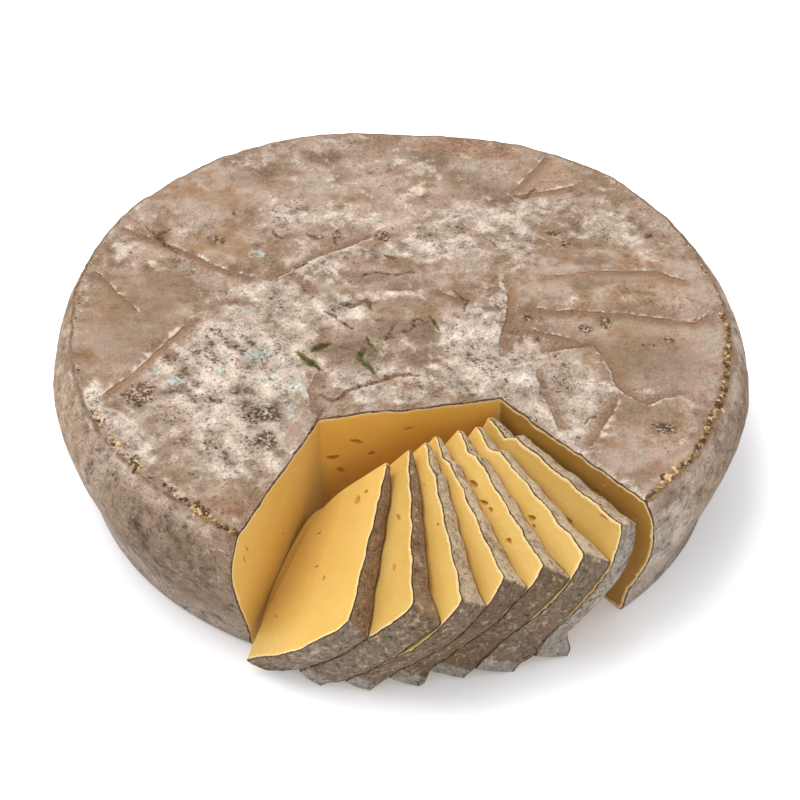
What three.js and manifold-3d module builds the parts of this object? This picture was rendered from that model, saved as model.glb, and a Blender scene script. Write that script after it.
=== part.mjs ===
// A wheel of washed-rind mountain cheese with a wedge cut from its front, and the seven slices of
// that wedge leaning on each other in the gap. Millimetres, +Z up. The origin is the centre of the
// wheel's underside, and the gap faces -Y.
import * as THREE from "three";
import { mergeVertices } from "three/addons/utils/BufferGeometryUtils.js";
import Module from "manifold-3d";

// The wheel's profile. The rim is where the top meets the side, the belly is the widest place, and
// the shoulder says how long the side stays full before it turns in to the rim.
const WHEEL_HEIGHT = 71.5;
const BELLY_HEIGHT = 53;
const WHEEL_SIDE = { rim: 152.2, belly: 158.4, foot: 147.4, shoulder: 2.8 };
const RIM_ROUNDING = 1.2;
const FOOT_ROUNDING = 2.6;
const FOOT_BEVEL = 0.3; // where the foot's rounding has its middle corner, as a share of it

// The wheel is out of round by a few wide lobes: waves round it, their size, and where one crests.
const RIM_LOBES = [
  { waves: 1, size: 1.4, crest: 160 },
  { waves: 2, size: 3.1, crest: -61.5 },
  { waves: 3, size: 2, crest: 31 },
  { waves: 4, size: 0.85, crest: -41 },
  { waves: 5, size: 0.95, crest: -21 },
  { waves: 7, size: 0.75, crest: 6.5 },
];
const SIDE_LOBES = [
  { waves: 1, size: 2.2, crest: -89 },
  { waves: 2, size: 0.75, crest: 9 },
  { waves: 3, size: 0.75, crest: -42 },
];

// The top's relief: wide swells, and creases that the cheesecloth and the next wheel pressed in.
const SWELL = { size: 0.55, length: 88, lead: 0.8, crossLength: 104, crossLead: -0.5 };
const RING_CREASE = { centre: [-1, -3], radius: 49, depth: 0.7, width: 4 };
const CREASE_DEPTH = 1.3;
const CREASE_WIDTH = 4.5;
const CREASES = [
  [[-137, 69], [-100, 46], [-63, 27]],
  [[-63, 27], [-45, 41], [-11, 63]],
  [[-92, 5], [-100, -8], [-128, -52]],
  [[37, 89], [53, 94], [90, 104]],
  [[47, 9], [76, 5], [134, -3]],
  [[56, -28], [86, -18], [95, -48], [107, -59], [127, -54]],
  [[95, -52], [77, -88]],
  [[58, -34], [68, -79]],
];
const SIDE_SWELL = { size: 0.5, waves: 9, lean: 0.09 };

// The wedge's gap: two upright walls and a straight back.
const GAP_BACK_LEFT = [-35.5, -68.8];
const GAP_BACK_RIGHT = [42.4, -56.2];
const GAP_LEFT_HEADING = -113.5;
const GAP_RIGHT_HEADING = -47.7;
const GAP_REACH = 125; // how far the cut runs out, past the belly

// How the slices lie. A slice lying flat has tilt 0. Its toe is the heel's lower corner, its heading
// points from its inner end to its heel, and its pitch lifts the inner end. Length is that of the
// rind's edge. Thickness runs from the heel to the inner end, because each slice is a thin wedge of
// the wheel. Trim is what a slanting cut took off along the lower edge, at the heel and at the inner
// end, and skew shortens that edge's inner end. Spread keeps the heel from drawing in towards its
// foot, and footShare thins a slice down there. The first slice was cut the most askew.
const SLICES = [
  { toe: [-70.2, -136.6], heading: -101.2, tilt: 41.4, pitch: 10.8, length: 77.5, thick: [10.3, 4.3],
    trim: [10, 33], skew: 9, spread: 9, footShare: 0.95 },
  { toe: [-42.7, -153.2], heading: -89.5, tilt: 48.8, pitch: 4.2, length: 81.5, thick: [9.5, 3.9],
    trim: [0, 5], skew: 3 },
  { toe: [-23.4, -158.8], heading: -81, tilt: 49.3, pitch: 4.5, length: 85, thick: [10, 5.5] },
  { toe: [-5.2, -156.3], heading: -72, tilt: 50.2, pitch: 2.6, length: 83, thick: [9.4, 5.5] },
  { toe: [11.3, -152.8], heading: -67, tilt: 50.6, pitch: 3.8, length: 81, thick: [10, 6] },
  { toe: [30.6, -152], heading: -60, tilt: 51.2, pitch: 2.9, length: 81.5, thick: [10.2, 5.6] },
  { toe: [56.1, -145], heading: -52, tilt: 58.2, pitch: 0, length: 83, thick: [10.5, 6.5] },
];
const CUT_SQUARE = { trim: [0, 0], skew: 0, spread: 0, footShare: 1 };
const HEEL_SIDE = { rim: 153.5, belly: 158.3, foot: 148.3, shoulder: 2.4 }; // where the wedge was
const FLOOR_GAP = 0.2; // below each slice's lowest corner
const INNER_DENT = { reach: 13, back: 4.5, step: 0.5 }; // the ring crease, deeper on each next slice
const RIND_WAVE = { size: 0.5, length: 17, lead: 2.1 }; // each next slice's wave leads by this

// How finely the surfaces are faceted.
const FACETS_ROUND = 108;
const SIDE_STEPS = 9;
const TOP_RINGS = 19;
const BASE_RINGS = 3;
const HEEL_STEPS = 9;
const EDGE_STEPS = 14;

const RAD = Math.PI / 180;
const WELD = 1e-3; // corners nearer than this are one
const ease = (t) => 0.5 + 0.5 * Math.cos(Math.PI * THREE.MathUtils.clamp(t, 0, 1));

const wasm = await Module();
wasm.setup();

// ---- Turning geometries into solids and back ----

function solidOf(geometry) {
  const bare = new THREE.BufferGeometry();
  bare.setAttribute("position", geometry.getAttribute("position"));
  if (geometry.index) bare.setIndex(geometry.index);
  const merged = mergeVertices(bare, WELD);
  const corners = [];
  const index = merged.index.array;
  for (let i = 0; i < index.length; i += 3) {
    const [a, b, c] = [index[i], index[i + 1], index[i + 2]];
    if (a !== b && b !== c && c !== a) corners.push(a, b, c);
  }
  const mesh = new wasm.Mesh({
    numProp: 3,
    vertProperties: merged.attributes.position.array,
    triVerts: new Uint32Array(corners),
  });
  return new wasm.Manifold(mesh);
}

function geometryOf(solid) {
  const mesh = solid.getMesh();
  const geometry = new THREE.BufferGeometry();
  geometry.setAttribute("position", new THREE.BufferAttribute(mesh.vertProperties, mesh.numProp));
  geometry.setIndex(new THREE.BufferAttribute(mesh.triVerts, 1));
  geometry.computeVertexNormals();
  return geometry;
}

// ---- The wheel's surface ----

// How far up the shoulder a height is, from 0 at the belly to 1 at the rim.
const upShoulder = (z) => (z - BELLY_HEIGHT) / (WHEEL_HEIGHT - BELLY_HEIGHT);

// Radius of the side at height z, of a perfectly round wheel.
function sideRadius(z, side) {
  const up = upShoulder(z);
  if (up > 0) return side.belly - (side.belly - side.rim) * up ** side.shoulder;
  return side.foot + (side.belly - side.foot) * ease((BELLY_HEIGHT - z) / BELLY_HEIGHT);
}

function lobesAt(azimuth, lobes) {
  let sum = 0;
  for (const lobe of lobes) sum += lobe.size * Math.cos(lobe.waves * (azimuth - lobe.crest * RAD));
  return sum;
}

function distanceToPath(x, y, path) {
  const here = new THREE.Vector3(x, y, 0);
  const nearest = new THREE.Vector3();
  let distance = Infinity;
  for (let i = 1; i < path.length; i++) {
    const leg = new THREE.Line3(
      new THREE.Vector3(...path[i - 1], 0),
      new THREE.Vector3(...path[i], 0),
    );
    leg.closestPointToPoint(here, true, nearest);
    distance = Math.min(distance, nearest.distanceTo(here));
  }
  return distance;
}

const groove = (distance, depth, width) => -depth * Math.exp(-((distance / width) ** 2));

function topRelief(x, y) {
  const across = Math.sin((2 * Math.PI * x) / SWELL.length + SWELL.lead);
  const along = Math.cos((2 * Math.PI * y) / SWELL.crossLength + SWELL.crossLead);
  const toRing = Math.hypot(x - RING_CREASE.centre[0], y - RING_CREASE.centre[1]) - RING_CREASE.radius;
  const ring = groove(toRing, RING_CREASE.depth, RING_CREASE.width);
  let crease = 0;
  for (const path of CREASES) {
    crease = Math.min(crease, groove(distanceToPath(x, y, path), CREASE_DEPTH, CREASE_WIDTH));
  }
  return SWELL.size * across * along + ring + crease;
}

// The profile from the underside's centre, up the side and back to the top's centre.
function wheelProfile() {
  const profile = [];
  for (let i = 0; i < BASE_RINGS; i++) {
    profile.push(new THREE.Vector2(((WHEEL_SIDE.foot - FOOT_ROUNDING) * i) / (BASE_RINGS - 1), 0));
  }
  const bevel = FOOT_ROUNDING * FOOT_BEVEL;
  profile.push(new THREE.Vector2(WHEEL_SIDE.foot - bevel, bevel));
  const low = FOOT_ROUNDING;
  const high = WHEEL_HEIGHT - RIM_ROUNDING;
  for (let i = 0; i <= SIDE_STEPS; i++) {
    const z = low + ((high - low) * i) / SIDE_STEPS;
    profile.push(new THREE.Vector2(sideRadius(z, WHEEL_SIDE), z));
  }
  for (let i = TOP_RINGS - 1; i >= 0; i--) {
    const radius = ((WHEEL_SIDE.rim - RIM_ROUNDING) * i) / (TOP_RINGS - 1);
    profile.push(new THREE.Vector2(radius, WHEEL_HEIGHT));
  }
  return profile;
}

// How far the wheel bulges out from round, at an azimuth and height.
function bulge(azimuth, z) {
  const up = THREE.MathUtils.clamp(upShoulder(z), 0, 1);
  const lobes = lobesAt(azimuth, RIM_LOBES) * up + lobesAt(azimuth, SIDE_LOBES) * (1 - up);
  const round = Math.sin(SIDE_SWELL.waves * azimuth + SIDE_SWELL.lean * z);
  return lobes + SIDE_SWELL.size * round * Math.sin((Math.PI * z) / WHEEL_HEIGHT);
}

function unevenWheel() {
  const geometry = new THREE.LatheGeometry(wheelProfile(), FACETS_ROUND);
  geometry.rotateX(Math.PI / 2);
  const position = geometry.getAttribute("position");
  for (let i = 0; i < position.count; i++) {
    const [x, y, z] = [position.getX(i), position.getY(i), position.getZ(i)];
    const radius = Math.hypot(x, y);
    const out = bulge(Math.atan2(y, x), z) * Math.min(1, radius / WHEEL_SIDE.foot);
    const scale = radius < WELD ? 1 : (radius + out) / radius;
    position.setXY(i, x * scale, y * scale);
    if (z === WHEEL_HEIGHT) position.setZ(i, z + topRelief(x * scale, y * scale));
  }
  return solidOf(geometry);
}

// The wedge that is cut out, wider than the wheel is high.
function wedgeCut() {
  const out = (point, heading) => [
    point[0] + GAP_REACH * Math.cos(heading * RAD),
    point[1] + GAP_REACH * Math.sin(heading * RAD),
  ];
  const outline = new THREE.Shape([
    new THREE.Vector2(...GAP_BACK_LEFT),
    new THREE.Vector2(...out(GAP_BACK_LEFT, GAP_LEFT_HEADING)),
    new THREE.Vector2(...out(GAP_BACK_RIGHT, GAP_RIGHT_HEADING)),
    new THREE.Vector2(...GAP_BACK_RIGHT),
  ]);
  const geometry = new THREE.ExtrudeGeometry(outline, { depth: 2 * WHEEL_HEIGHT, bevelEnabled: false });
  geometry.translate(0, 0, -WHEEL_HEIGHT / 2);
  return solidOf(geometry);
}

function makeWheel() {
  const material = new THREE.MeshStandardMaterial({ color: 0xa4948a, roughness: 0.9, metalness: 0 });
  const wheel = new THREE.Mesh(geometryOf(unevenWheel().subtract(wedgeCut())), material);
  wheel.name = "wheel";
  return wheel;
}

// ---- The slices ----

// The rind's edge along the top of a slice, measured from its inner end: a sharp dent where the
// ring crease crosses, and a slight wave all along.
function topEdge(fromInner, number) {
  const dent = INNER_DENT.step * number;
  const turn = (2 * Math.PI * fromInner) / RIND_WAVE.length + RIND_WAVE.lead * number;
  if (fromInner < INNER_DENT.reach) return (-dent * Math.max(0, fromInner)) / INNER_DENT.reach;
  const past = (fromInner - INNER_DENT.reach) / INNER_DENT.back;
  return -dent * Math.max(0, 1 - past) + RIND_WAVE.size * Math.sin(turn) * Math.min(1, past);
}

// A slice's cut face, with the toe at the origin, X along to the heel and Y up the face.
function sliceOutline(slice, number) {
  const points = [];
  const heelTop = HEEL_SIDE.rim - HEEL_SIDE.foot;
  const heel = { ...HEEL_SIDE, foot: HEEL_SIDE.foot + slice.spread };
  const [heelTrim, innerTrim] = slice.trim;
  for (let i = 0; i <= HEEL_STEPS; i++) {
    const z = heelTrim + ((WHEEL_HEIGHT - heelTrim) * i) / HEEL_STEPS;
    points.push(new THREE.Vector2(sideRadius(z, heel) - HEEL_SIDE.foot, z));
  }
  for (let i = 1; i <= EDGE_STEPS; i++) {
    const fromHeel = (slice.length * i) / EDGE_STEPS;
    const z = WHEEL_HEIGHT + topEdge(slice.length - fromHeel, number);
    points.push(new THREE.Vector2(heelTop - fromHeel, z));
  }
  points.push(new THREE.Vector2(heelTop - slice.length + slice.skew, innerTrim));
  return new THREE.Shape(points);
}

// How thick a slice is at a point of its face.
function thicknessAt(slice, along, up) {
  const [heel, inner] = slice.thick;
  const whole = heel + (inner - heel) * (-along / slice.length);
  return whole * (slice.footShare + (1 - slice.footShare) * (up / WHEEL_HEIGHT));
}

function makeSlice(slice, number) {
  const geometry = new THREE.ExtrudeGeometry(sliceOutline(slice, number), { depth: 1, bevelEnabled: false });
  const position = geometry.getAttribute("position");
  for (let i = 0; i < position.count; i++) {
    const thickness = thicknessAt(slice, position.getX(i), position.getY(i));
    position.setZ(i, (position.getZ(i) - 1) * thickness);
  }
  const material = new THREE.MeshStandardMaterial({ color: 0xe9bd62, roughness: 0.55, metalness: 0 });
  const mesh = new THREE.Mesh(geometryOf(solidOf(geometry)), material);
  mesh.name = "slice_" + number;
  mesh.rotation.set(slice.tilt * RAD, slice.pitch * RAD, slice.heading * RAD, "ZYX");
  mesh.position.set(...slice.toe, 0);
  mesh.updateMatrix();
  const lowest = new THREE.Box3().setFromBufferAttribute(
    mesh.geometry.getAttribute("position").clone().applyMatrix4(mesh.matrix),
  ).min.z;
  mesh.position.z = FLOOR_GAP - lowest;
  return mesh;
}

const cheese = new THREE.Group();
cheese.add(makeWheel());
SLICES.forEach((slice, i) => cheese.add(makeSlice({ ...CUT_SQUARE, ...slice }, i + 1)));

export default cheese;
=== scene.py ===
"""A natural-rind cheese wheel with its cut slices fanned in the gap, dressed round its frame."""

import math

import bmesh
import bpy
import numpy as np
from bpy.props import FloatProperty, FloatVectorProperty, IntProperty, PointerProperty
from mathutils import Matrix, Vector
from mathutils.geometry import delaunay_2d_cdt


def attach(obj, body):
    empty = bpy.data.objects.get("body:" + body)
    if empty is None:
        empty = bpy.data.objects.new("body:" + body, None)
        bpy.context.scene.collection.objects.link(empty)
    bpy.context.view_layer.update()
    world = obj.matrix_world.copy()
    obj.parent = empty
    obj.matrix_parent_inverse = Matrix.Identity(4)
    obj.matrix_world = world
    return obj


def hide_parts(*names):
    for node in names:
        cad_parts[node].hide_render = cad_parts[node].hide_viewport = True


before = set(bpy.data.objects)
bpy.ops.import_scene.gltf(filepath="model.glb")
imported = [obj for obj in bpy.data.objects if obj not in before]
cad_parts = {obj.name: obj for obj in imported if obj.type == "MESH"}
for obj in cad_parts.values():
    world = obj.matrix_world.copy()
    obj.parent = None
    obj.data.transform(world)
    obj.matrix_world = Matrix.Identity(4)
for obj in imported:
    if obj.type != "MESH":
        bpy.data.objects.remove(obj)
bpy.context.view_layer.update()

bl_info = {
    "name": "Cut Cheese Wheel",
    "version": (1, 0, 0),
    "blender": (4, 5, 0),
    "location": "3D View > Sidebar > Cheese",
    "description": "Natural-rind cheese wheel with a gap and its slices",
    "category": "Add Mesh",
}

MM = 0.001
RAD = math.pi / 180

# ---- The wheel's form, in millimetres, as in the frame ----

HEIGHT = 71.5
BELLY_AT = 53.0
WHEEL_SIDE = {"rim": 152.2, "belly": 158.4, "foot": 147.4, "shoulder": 2.8}
RIM_ROUND = 1.6
FOOT_ROUND = 2.6
MEAN_RADIUS = 155.0
# Beyond this radius the rind's crust lies on the rim.
CRUST_RADIUS = 151.2
RIM_LOBES = [(1, 1.4, 160), (2, 3.1, -61.5), (3, 2, 31), (4, 0.85, -41), (5, 0.95, -21), (7, 0.75, 6.5)]
SIDE_LOBES = [(1, 2.2, -89), (2, 0.75, 9), (3, 0.75, -42)]
RING = {"centre": (-1, -3), "radius": 49, "depth": 0.7, "width": 4}

# The gap: its two back corners and the headings of its side walls.
GAP_LEFT = np.array([-35.5, -68.8])
GAP_RIGHT = np.array([42.4, -56.2])
LEFT_HEADING = -113.5
RIGHT_HEADING = -47.7
GAP_REACH = 125

# Folds that the cheesecloth pressed in: path, depth, width, how far the left side stands higher.
FOLDS = [
    ([(-143, 72), (-137, 69), (-116, 56), (-100, 46), (-82, 35), (-63, 27)], 1.2, 3.6, 0.5),
    ([(-63, 27), (-45, 41), (-26, 54), (-11, 63)], 0.8, 3.4, -0.4),
    ([(-147, 37), (-133, 19), (-120, 2)], 0.6, 2.6, 0.2),
    ([(-92, 5), (-100, -8), (-113, -30), (-128, -52), (-134, -60)], 1.2, 3.6, -0.9),
    ([(-37, -39), (-41, -52), (-37, -68)], 0.7, 2.6, -0.5),
    ([(37, 89), (53, 94), (74, 129), (78, 133)], 0.7, 3, 0.3),
    ([(53, 94), (90, 104)], 1.1, 4, 0.4),
    ([(59, 28), (91, 33), (121, 33), (140, 23)], 0.35, 2.6, 0.5),
    ([(47, 9), (76, 5), (112, -1), (134, -3), (147, 9)], 1.1, 3.8, 0.5),
    ([(56, -28), (67, -23), (86, -18), (91, -28), (95, -48), (107, -59), (113, -54), (127, -54)], 1.0, 3.4, -0.4),
    ([(95, -52), (85, -74), (77, -88)], 1.2, 3.6, 0.6),
    ([(57, -8), (74, -15), (90, -20)], 0.6, 2.8, 0.3),
    ([(58, -34), (62, -52), (68, -79)], 1.0, 3.4, -0.3),
    ([(46, 33), (50, 16), (48, 2), (43, -28)], 0.7, 3, -0.3),
    ([(15, 21), (30, 9)], 0.4, 2.2, 0.2),
]

# What grows or lies on the top: centre and half sizes of each patch, then how strong it is.
MOULD = [
    (-79, -37, 38, 40, 0.9), (-65, -90, 27, 14, 0.7), (-133, -55, 5, 8, 1), (-117, -84, 10, 16, 0.6),
    (13, 59, 11, 10, 0.9), (23, 54, 10, 7, 0.9), (32, -8, 14, 16, 0.8), (45, 15, 4, 18, 0.9),
    (-51, 81, 16, 13, 0.6), (4, 93, 7, 11, 0.6), (-6, -45, 27, 11, 0.7), (44, -38, 26, 19, 0.8),
    (74, -57, 20, 32, 0.65), (115, 44, 8, 8, 0.6), (81, 12, 5, 4, 0.7), (56, 50, 10, 24, 0.6),
    (-66, 19, 19, 7, 0.7), (-107, 39, 12, 7, 0.7), (-129, 51, 8, 7, 0.6), (-101, 68, 17, 14, 0.35),
    (30, 75, 26, 14, 0.6), (-20, 75, 26, 12, 0.45), (-40, 38, 16, 12, 0.5), (100, 66, 16, 18, 0.5),
    (-15, 112, 30, 12, 0.35), (-52, 8, 14, 16, 0.6), (70, 90, 16, 14, 0.45), (-1, 48, 34, 7, 0.6),
    (112, 14, 24, 9, 0.5), (120, 40, 14, 8, 0.4), (-32, 6, 13, 12, 0.75), (-6, 16, 22, 5, 0.7),
    (30, -14, 14, 16, 0.9), (-46, -8, 8, 26, 0.6), (112, -78, 16, 14, 0.4),
    (-131, -61, 5, 10, 0.85), (-124, -75, 5, 9, 0.85), (-114, -89, 6, 7, 0.85), (-107, -95, 6, 5, 0.85),
]
SMOOTH = [
    (-121, -6, 25, 39, 1), (99, 28, 48, 26, 0.9), (107, -20, 36, 26, 0.9), (-87, 55, 15, 15, 0.9),
    (99, -80, 24, 22, 0.7), (-97, 98, 30, 20, 0.8), (-30, 100, 60, 18, 0.35), (-1, 8, 30, 24, 0.3),
    (72, 112, 20, 16, 0.6), (-112, 52, 18, 12, 0.7),
]
SPECKS = [
    (-114, -53, 9, 9, 1), (-103, -26, 4, 4, 0.9), (-59, -66, 9, 6, 1), (-58, -82, 5, 7, 1),
    (-73, -49, 4, 4, 0.9), (-76, -20, 4, 4, 0.8), (-86, -103, 3, 3, 0.8), (-60, -103, 3, 3, 0.8),
    (-79, -81, 6, 10, 0.7), (-84, -56, 5, 3, 0.8), (84, -8, 4, 3, 1), (93, -5, 3, 5, 1),
    (57, -1, 2.5, 3, 1), (62, -16, 2, 3, 1), (73, 64, 3, 3, 1), (79, 55, 2.5, 2.5, 1),
    (120, 63, 3, 3, 1), (120, -17, 2.5, 2.5, 0.9), (111, -21, 4, 2, 0.8), (112, -75, 6, 4, 1),
    (71, -47, 7, 10, 0.7), (-82, 81, 2, 3, 1), (-89, 59, 6, 6, 0.8), (-41, 59, 3, 2, 1),
    (-32, 62, 2, 4, 1), (-9, 61, 4, 5, 1), (28, 67, 5, 5, 0.8), (-97, -66, 8, 8, 0.6),
    (13, 62, 8, 5, 0.7), (-48, 88, 8, 6, 0.5), (100, 60, 8, 8, 0.5), (-110, 40, 8, 4, 0.6),
    (-92, -84, 6, 4, 0.7), (20, -40, 8, 4, 0.5), (-64, -32, 12, 8, 0.5), (56, -70, 5, 9, 0.5),
]
BLOOM = [
    (-69, 46, 5, 5, 1), (-80, -35, 5, 3, 1), (-65, -27, 9, 6, 1), (-58, -42, 6, 5, 0.9),
    (-110, -37, 4, 4, 1), (-99, -43, 5, 4, 1), (-72, 4, 5, 5, 0.7), (-56, 82, 8, 5, 0.7),
    (-50, -62, 8, 9, 0.8), (-44, -50, 6, 7, 0.8), (-90, -22, 6, 5, 0.6),
]
# Strokes of olive mould and worn scars: path and half width.
OLIVE = [
    ([(-46, -25), (-43, -29), (-40, -33.5), (-36, -36.5)], 2.1), ([(-40, -23.5), (-36, -21), (-32, -19)], 2.2),
    ([(-16, -13), (-14.5, -19), (-12, -24)], 1.3), ([(-20, -25.5), (-18.5, -30), (-15.5, -35), (-11.5, -39)], 1.5),
    ([(-17, -22), (-18.5, -28)], 1.1), ([(13.3, 0), (15.5, -5.5), (17, -10.5)], 1.1),
]
SCARS = [
    ([(-35, 5), (-31.5, 2.5), (-26, -4.5), (-22.5, -7.5)], 1.3),
    ([(-28.5, 11), (-23, 8), (-16.5, 13.5), (-13.5, 5)], 1.5),
    ([(-13.5, -2), (-8, -2)], 1.1), ([(-2.5, -4.5), (-5, -11), (-7, -15.5), (-3, -14)], 1.3),
    ([(0, -12), (4.5, -7.5), (7, -2), (12, -4)], 1.2), ([(-9, 46.5), (-4, 44)], 1.5),
    ([(-45.5, 63.5), (-40.5, 58.5)], 1.4),
    ([(-34, 63.5), (-31, 54.5)], 1.3), ([(-125, 69), (-114, 55), (-107, 47.5)], 1.2), ([(-118, 62), (-112, 66)], 1.6),
    ([(-36, -54), (-29, -57), (-20.5, -48), (-9.5, -43), (-1, -39), (8, -40.5)], 1.6),
    ([(-34, -62), (-38, -76)], 1.3), ([(60, 93), (67, 101)], 1.1), ([(-52, 34), (-45, 40)], 1.0),
    ([(24, 20), (30, 12), (29, 4)], 1.0), ([(-64, 66), (-58, 60)], 1.1), ([(-3, 30), (6, 33)], 1.0),
    ([(40, 60), (47, 52)], 1.0), ([(-20, 30), (-13, 34), (-5, 31)], 1.0), ([(76, -72), (83, -66)], 1.0),
]
RUST = [
    (27, 138, 30, 11, 1), (2, -46, 17, 4, 0.8), (-69, -120, 12, 14, 0.7), (72, 112, 18, 20, 0.8),
    (124, 17, 14, 5, 0.5), (-112, 60, 14, 4, 0.6), (-84, 36, 16, 3, 0.7), (62, -80, 6, 8, 0.5),
    (-100, -52, 10, 10, 0.5), (118, -62, 8, 8, 0.5), (-40, 64, 10, 6, 0.4), (-71, -122, 14, 7, 1),
    (121, 26, 12, 5, 0.8), (116, 62, 5, 4, 0.9), (88, -22, 8, 5, 0.6), (106, -57, 8, 4, 0.6),
    (50, 131, 14, 6, 1), (-3, 117, 6, 5, 0.9), (-39, 126, 10, 4, 0.7), (34, 134, 16, 5, 1),
    (-1, -46, 14, 3, 1), (67, 62, 8, 6, 0.7), (-12, 57, 7, 6, 0.9),
]
SMUDGE = [
    (90, 40, 9, 4, 1), (86, 24, 10, 5, 1), (-125, 14, 7, 7, 0.8), (-123, -30, 8, 8, 0.7),
    (-67, 114, 6, 8, 0.8), (-31, 112, 7, 7, 0.8), (-27, 69, 5, 5, 0.6), (1, 23, 12, 7, 0.6),
    (51, -15, 7, 9, 0.7), (10, -25, 11, 5, 0.6), (-108, 24, 14, 9, 0.7), (108, 6, 20, 5, 0.5),
    (-121, -6, 22, 34, 0.7), (-19, -25, 12, 10, 0.9), (6, -12, 12, 8, 1), (-8, -8, 12, 8, 0.8),
    (100, -62, 18, 16, 0.6), (112, -30, 26, 20, 0.7), (24, 112, 12, 8, 0.4), (-48, -56, 8, 9, 0.5),
    (-48, 31, 8, 4, 0.9), (-31, 31, 10, 4, 1), (-15, 28, 10, 4.5, 1), (1.5, 22, 9, 4.5, 1),
    (15, 16, 6, 4, 0.8), (3, -28, 14, 4.5, 0.9), (40, 97, 16, 10, 0.7), (88, 24, 8, 4, 1),
    (92, -3, 7, 4, 0.9), (103, -37, 12, 5, 0.9), (-97, 16, 12, 8, 0.6), (-94, 41, 12, 6, 0.6),
    (-77, 108, 16, 8, 0.6), (-39, 128, 14, 5, 0.8), (20, 132, 24, 7, 0.8),
]

# ---- The slices' form, in millimetres, as in the frame ----

# How brown the rind on each slice is.
RIND_WARMTH = (1.0, 0.85, 0.35, 0.2, 0.25, 0.15, 0.15)
# How much painted shade darkens the cut paste of each slice.
PASTE_PAINTED_SHADE = (0, 0.3, 0.05, 0.15, 0.05, 0.1, 0.42)
HEEL_WARMTH = (0.15, 0.3, 0.45, 0.6, 0.6, 0.4, 0.05)
# How pale each heel is all the way up, as its foot is.
HEEL_PALE = (0, 0, 0, 0, 0, 0, 0.8)
HEEL_SIDE = {"rim": 153.5, "belly": 158.3, "foot": 148.3, "shoulder": 2.4}
FLOOR_GAP = 0.2
DENT = {"reach": 13, "back": 4.5, "step": 0.5}
RIND_WAVE = {"size": 0.32, "length": 17, "lead": 2.1}
SQUARE_CUT = {"trim": (0, 0), "skew": 0, "spread": 0, "foot_share": 1, "corner": 1.5, "belly": 0}
# How far each heel stands out from the plain profile, at these heights up the face.
HEEL_AT = [0, 7, 12, 20, 30, 38, 45, 52, 60, 66, 71.5]
HEEL_OUT = [
    [0, 0.2, 0.4, 1.0, 2.8, 3.0, 2.8, 1.0, 0.4, 0.8, 0], [0, 1.5, 2.0, 2.2, 1.1, -0.9, -1.8, -2.3, -1.5, 0, 0.2],
    [0, 1.2, 2.2, 2.1, 1.5, 1.0, 0.5, -0.2, -1.0, -0.6, 0], [0, 1.0, 2.2, 2.9, 2.7, 2.5, 1.4, 0.4, 0, 0.2, 0],
    [0, 1.0, 1.7, 1.1, 0.5, 0, -0.8, -1.8, -1.1, -0.3, 0], [0, 0, -0.1, -0.4, -0.8, -0.7, -0.8, -0.7, -0.8, -0.2, 0],
    [0, -0.3, 0, 0.7, 0.7, 0.4, 0.5, 0.6, 0.2, 0, 0],
]
# Where each foot's far corner spreads to on the table, from where a square cut leaves it.
FOOT_OUT = [(5, -1.3), (1.5, -3), (2.5, -1), (5.5, -2.6), (7.5, -2.4), (9.5, -0.5), (7, -0.5)]
# How closely each heel's far edge meets the next slice's heel, low to high.
MEETING_AT = (8, 30, 44, 54, 62, 70)
MEETING = [
    (1, 1, 1, 1, 1, 1), (1, 1, 0.95, 0.75, 0.75, 0.95), (1, 1, 1, 1, 1, 1), (1, 1, 1, 1, 0.95, 0.9),
    (1, 1, 0.95, 0.78, 0.78, 0.95), (1, 0.96, 0.82, 0.72, 0.75, 0.9),
]
SLICES = [
    {"toe": (-70.2, -136.6), "heading": -101.2, "tilt": 41.4, "pitch": 10.8, "length": 77.5,
     "thick": (10.3, 4.3), "trim": (10, 33), "skew": 9, "spread": 9, "foot_share": 0.95, "corner": 16, "belly": 2.5},
    {"toe": (-42.7, -153.2), "heading": -89.5, "tilt": 48.8, "pitch": 4.2, "length": 81.5,
     "thick": (9.5, 3.9), "trim": (0, 5), "skew": 3},
    {"toe": (-23.4, -158.8), "heading": -81, "tilt": 49.3, "pitch": 4.5, "length": 85, "thick": (10, 5.5)},
    {"toe": (-5.2, -156.3), "heading": -72, "tilt": 50.2, "pitch": 2.6, "length": 83, "thick": (9.4, 5.5)},
    {"toe": (11.3, -152.8), "heading": -67, "tilt": 50.6, "pitch": 3.8, "length": 81, "thick": (10, 6)},
    {"toe": (30.6, -152), "heading": -60, "tilt": 51.2, "pitch": 2.9, "length": 81.5, "thick": (10.2, 5.6)},
    {"toe": (56.1, -145), "heading": -52, "tilt": 58.2, "pitch": 0, "length": 83, "thick": (10.5, 6.5)},
]

# Painted light and shade on the paste of each wall, from 1 for darkest, the right wall in the slices' shade, to below 0
# for lighter, the back wall.
WALL_LIGHT_AND_SHADE = {"left": 0.0, "back": -0.6, "right": 1.0}

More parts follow.
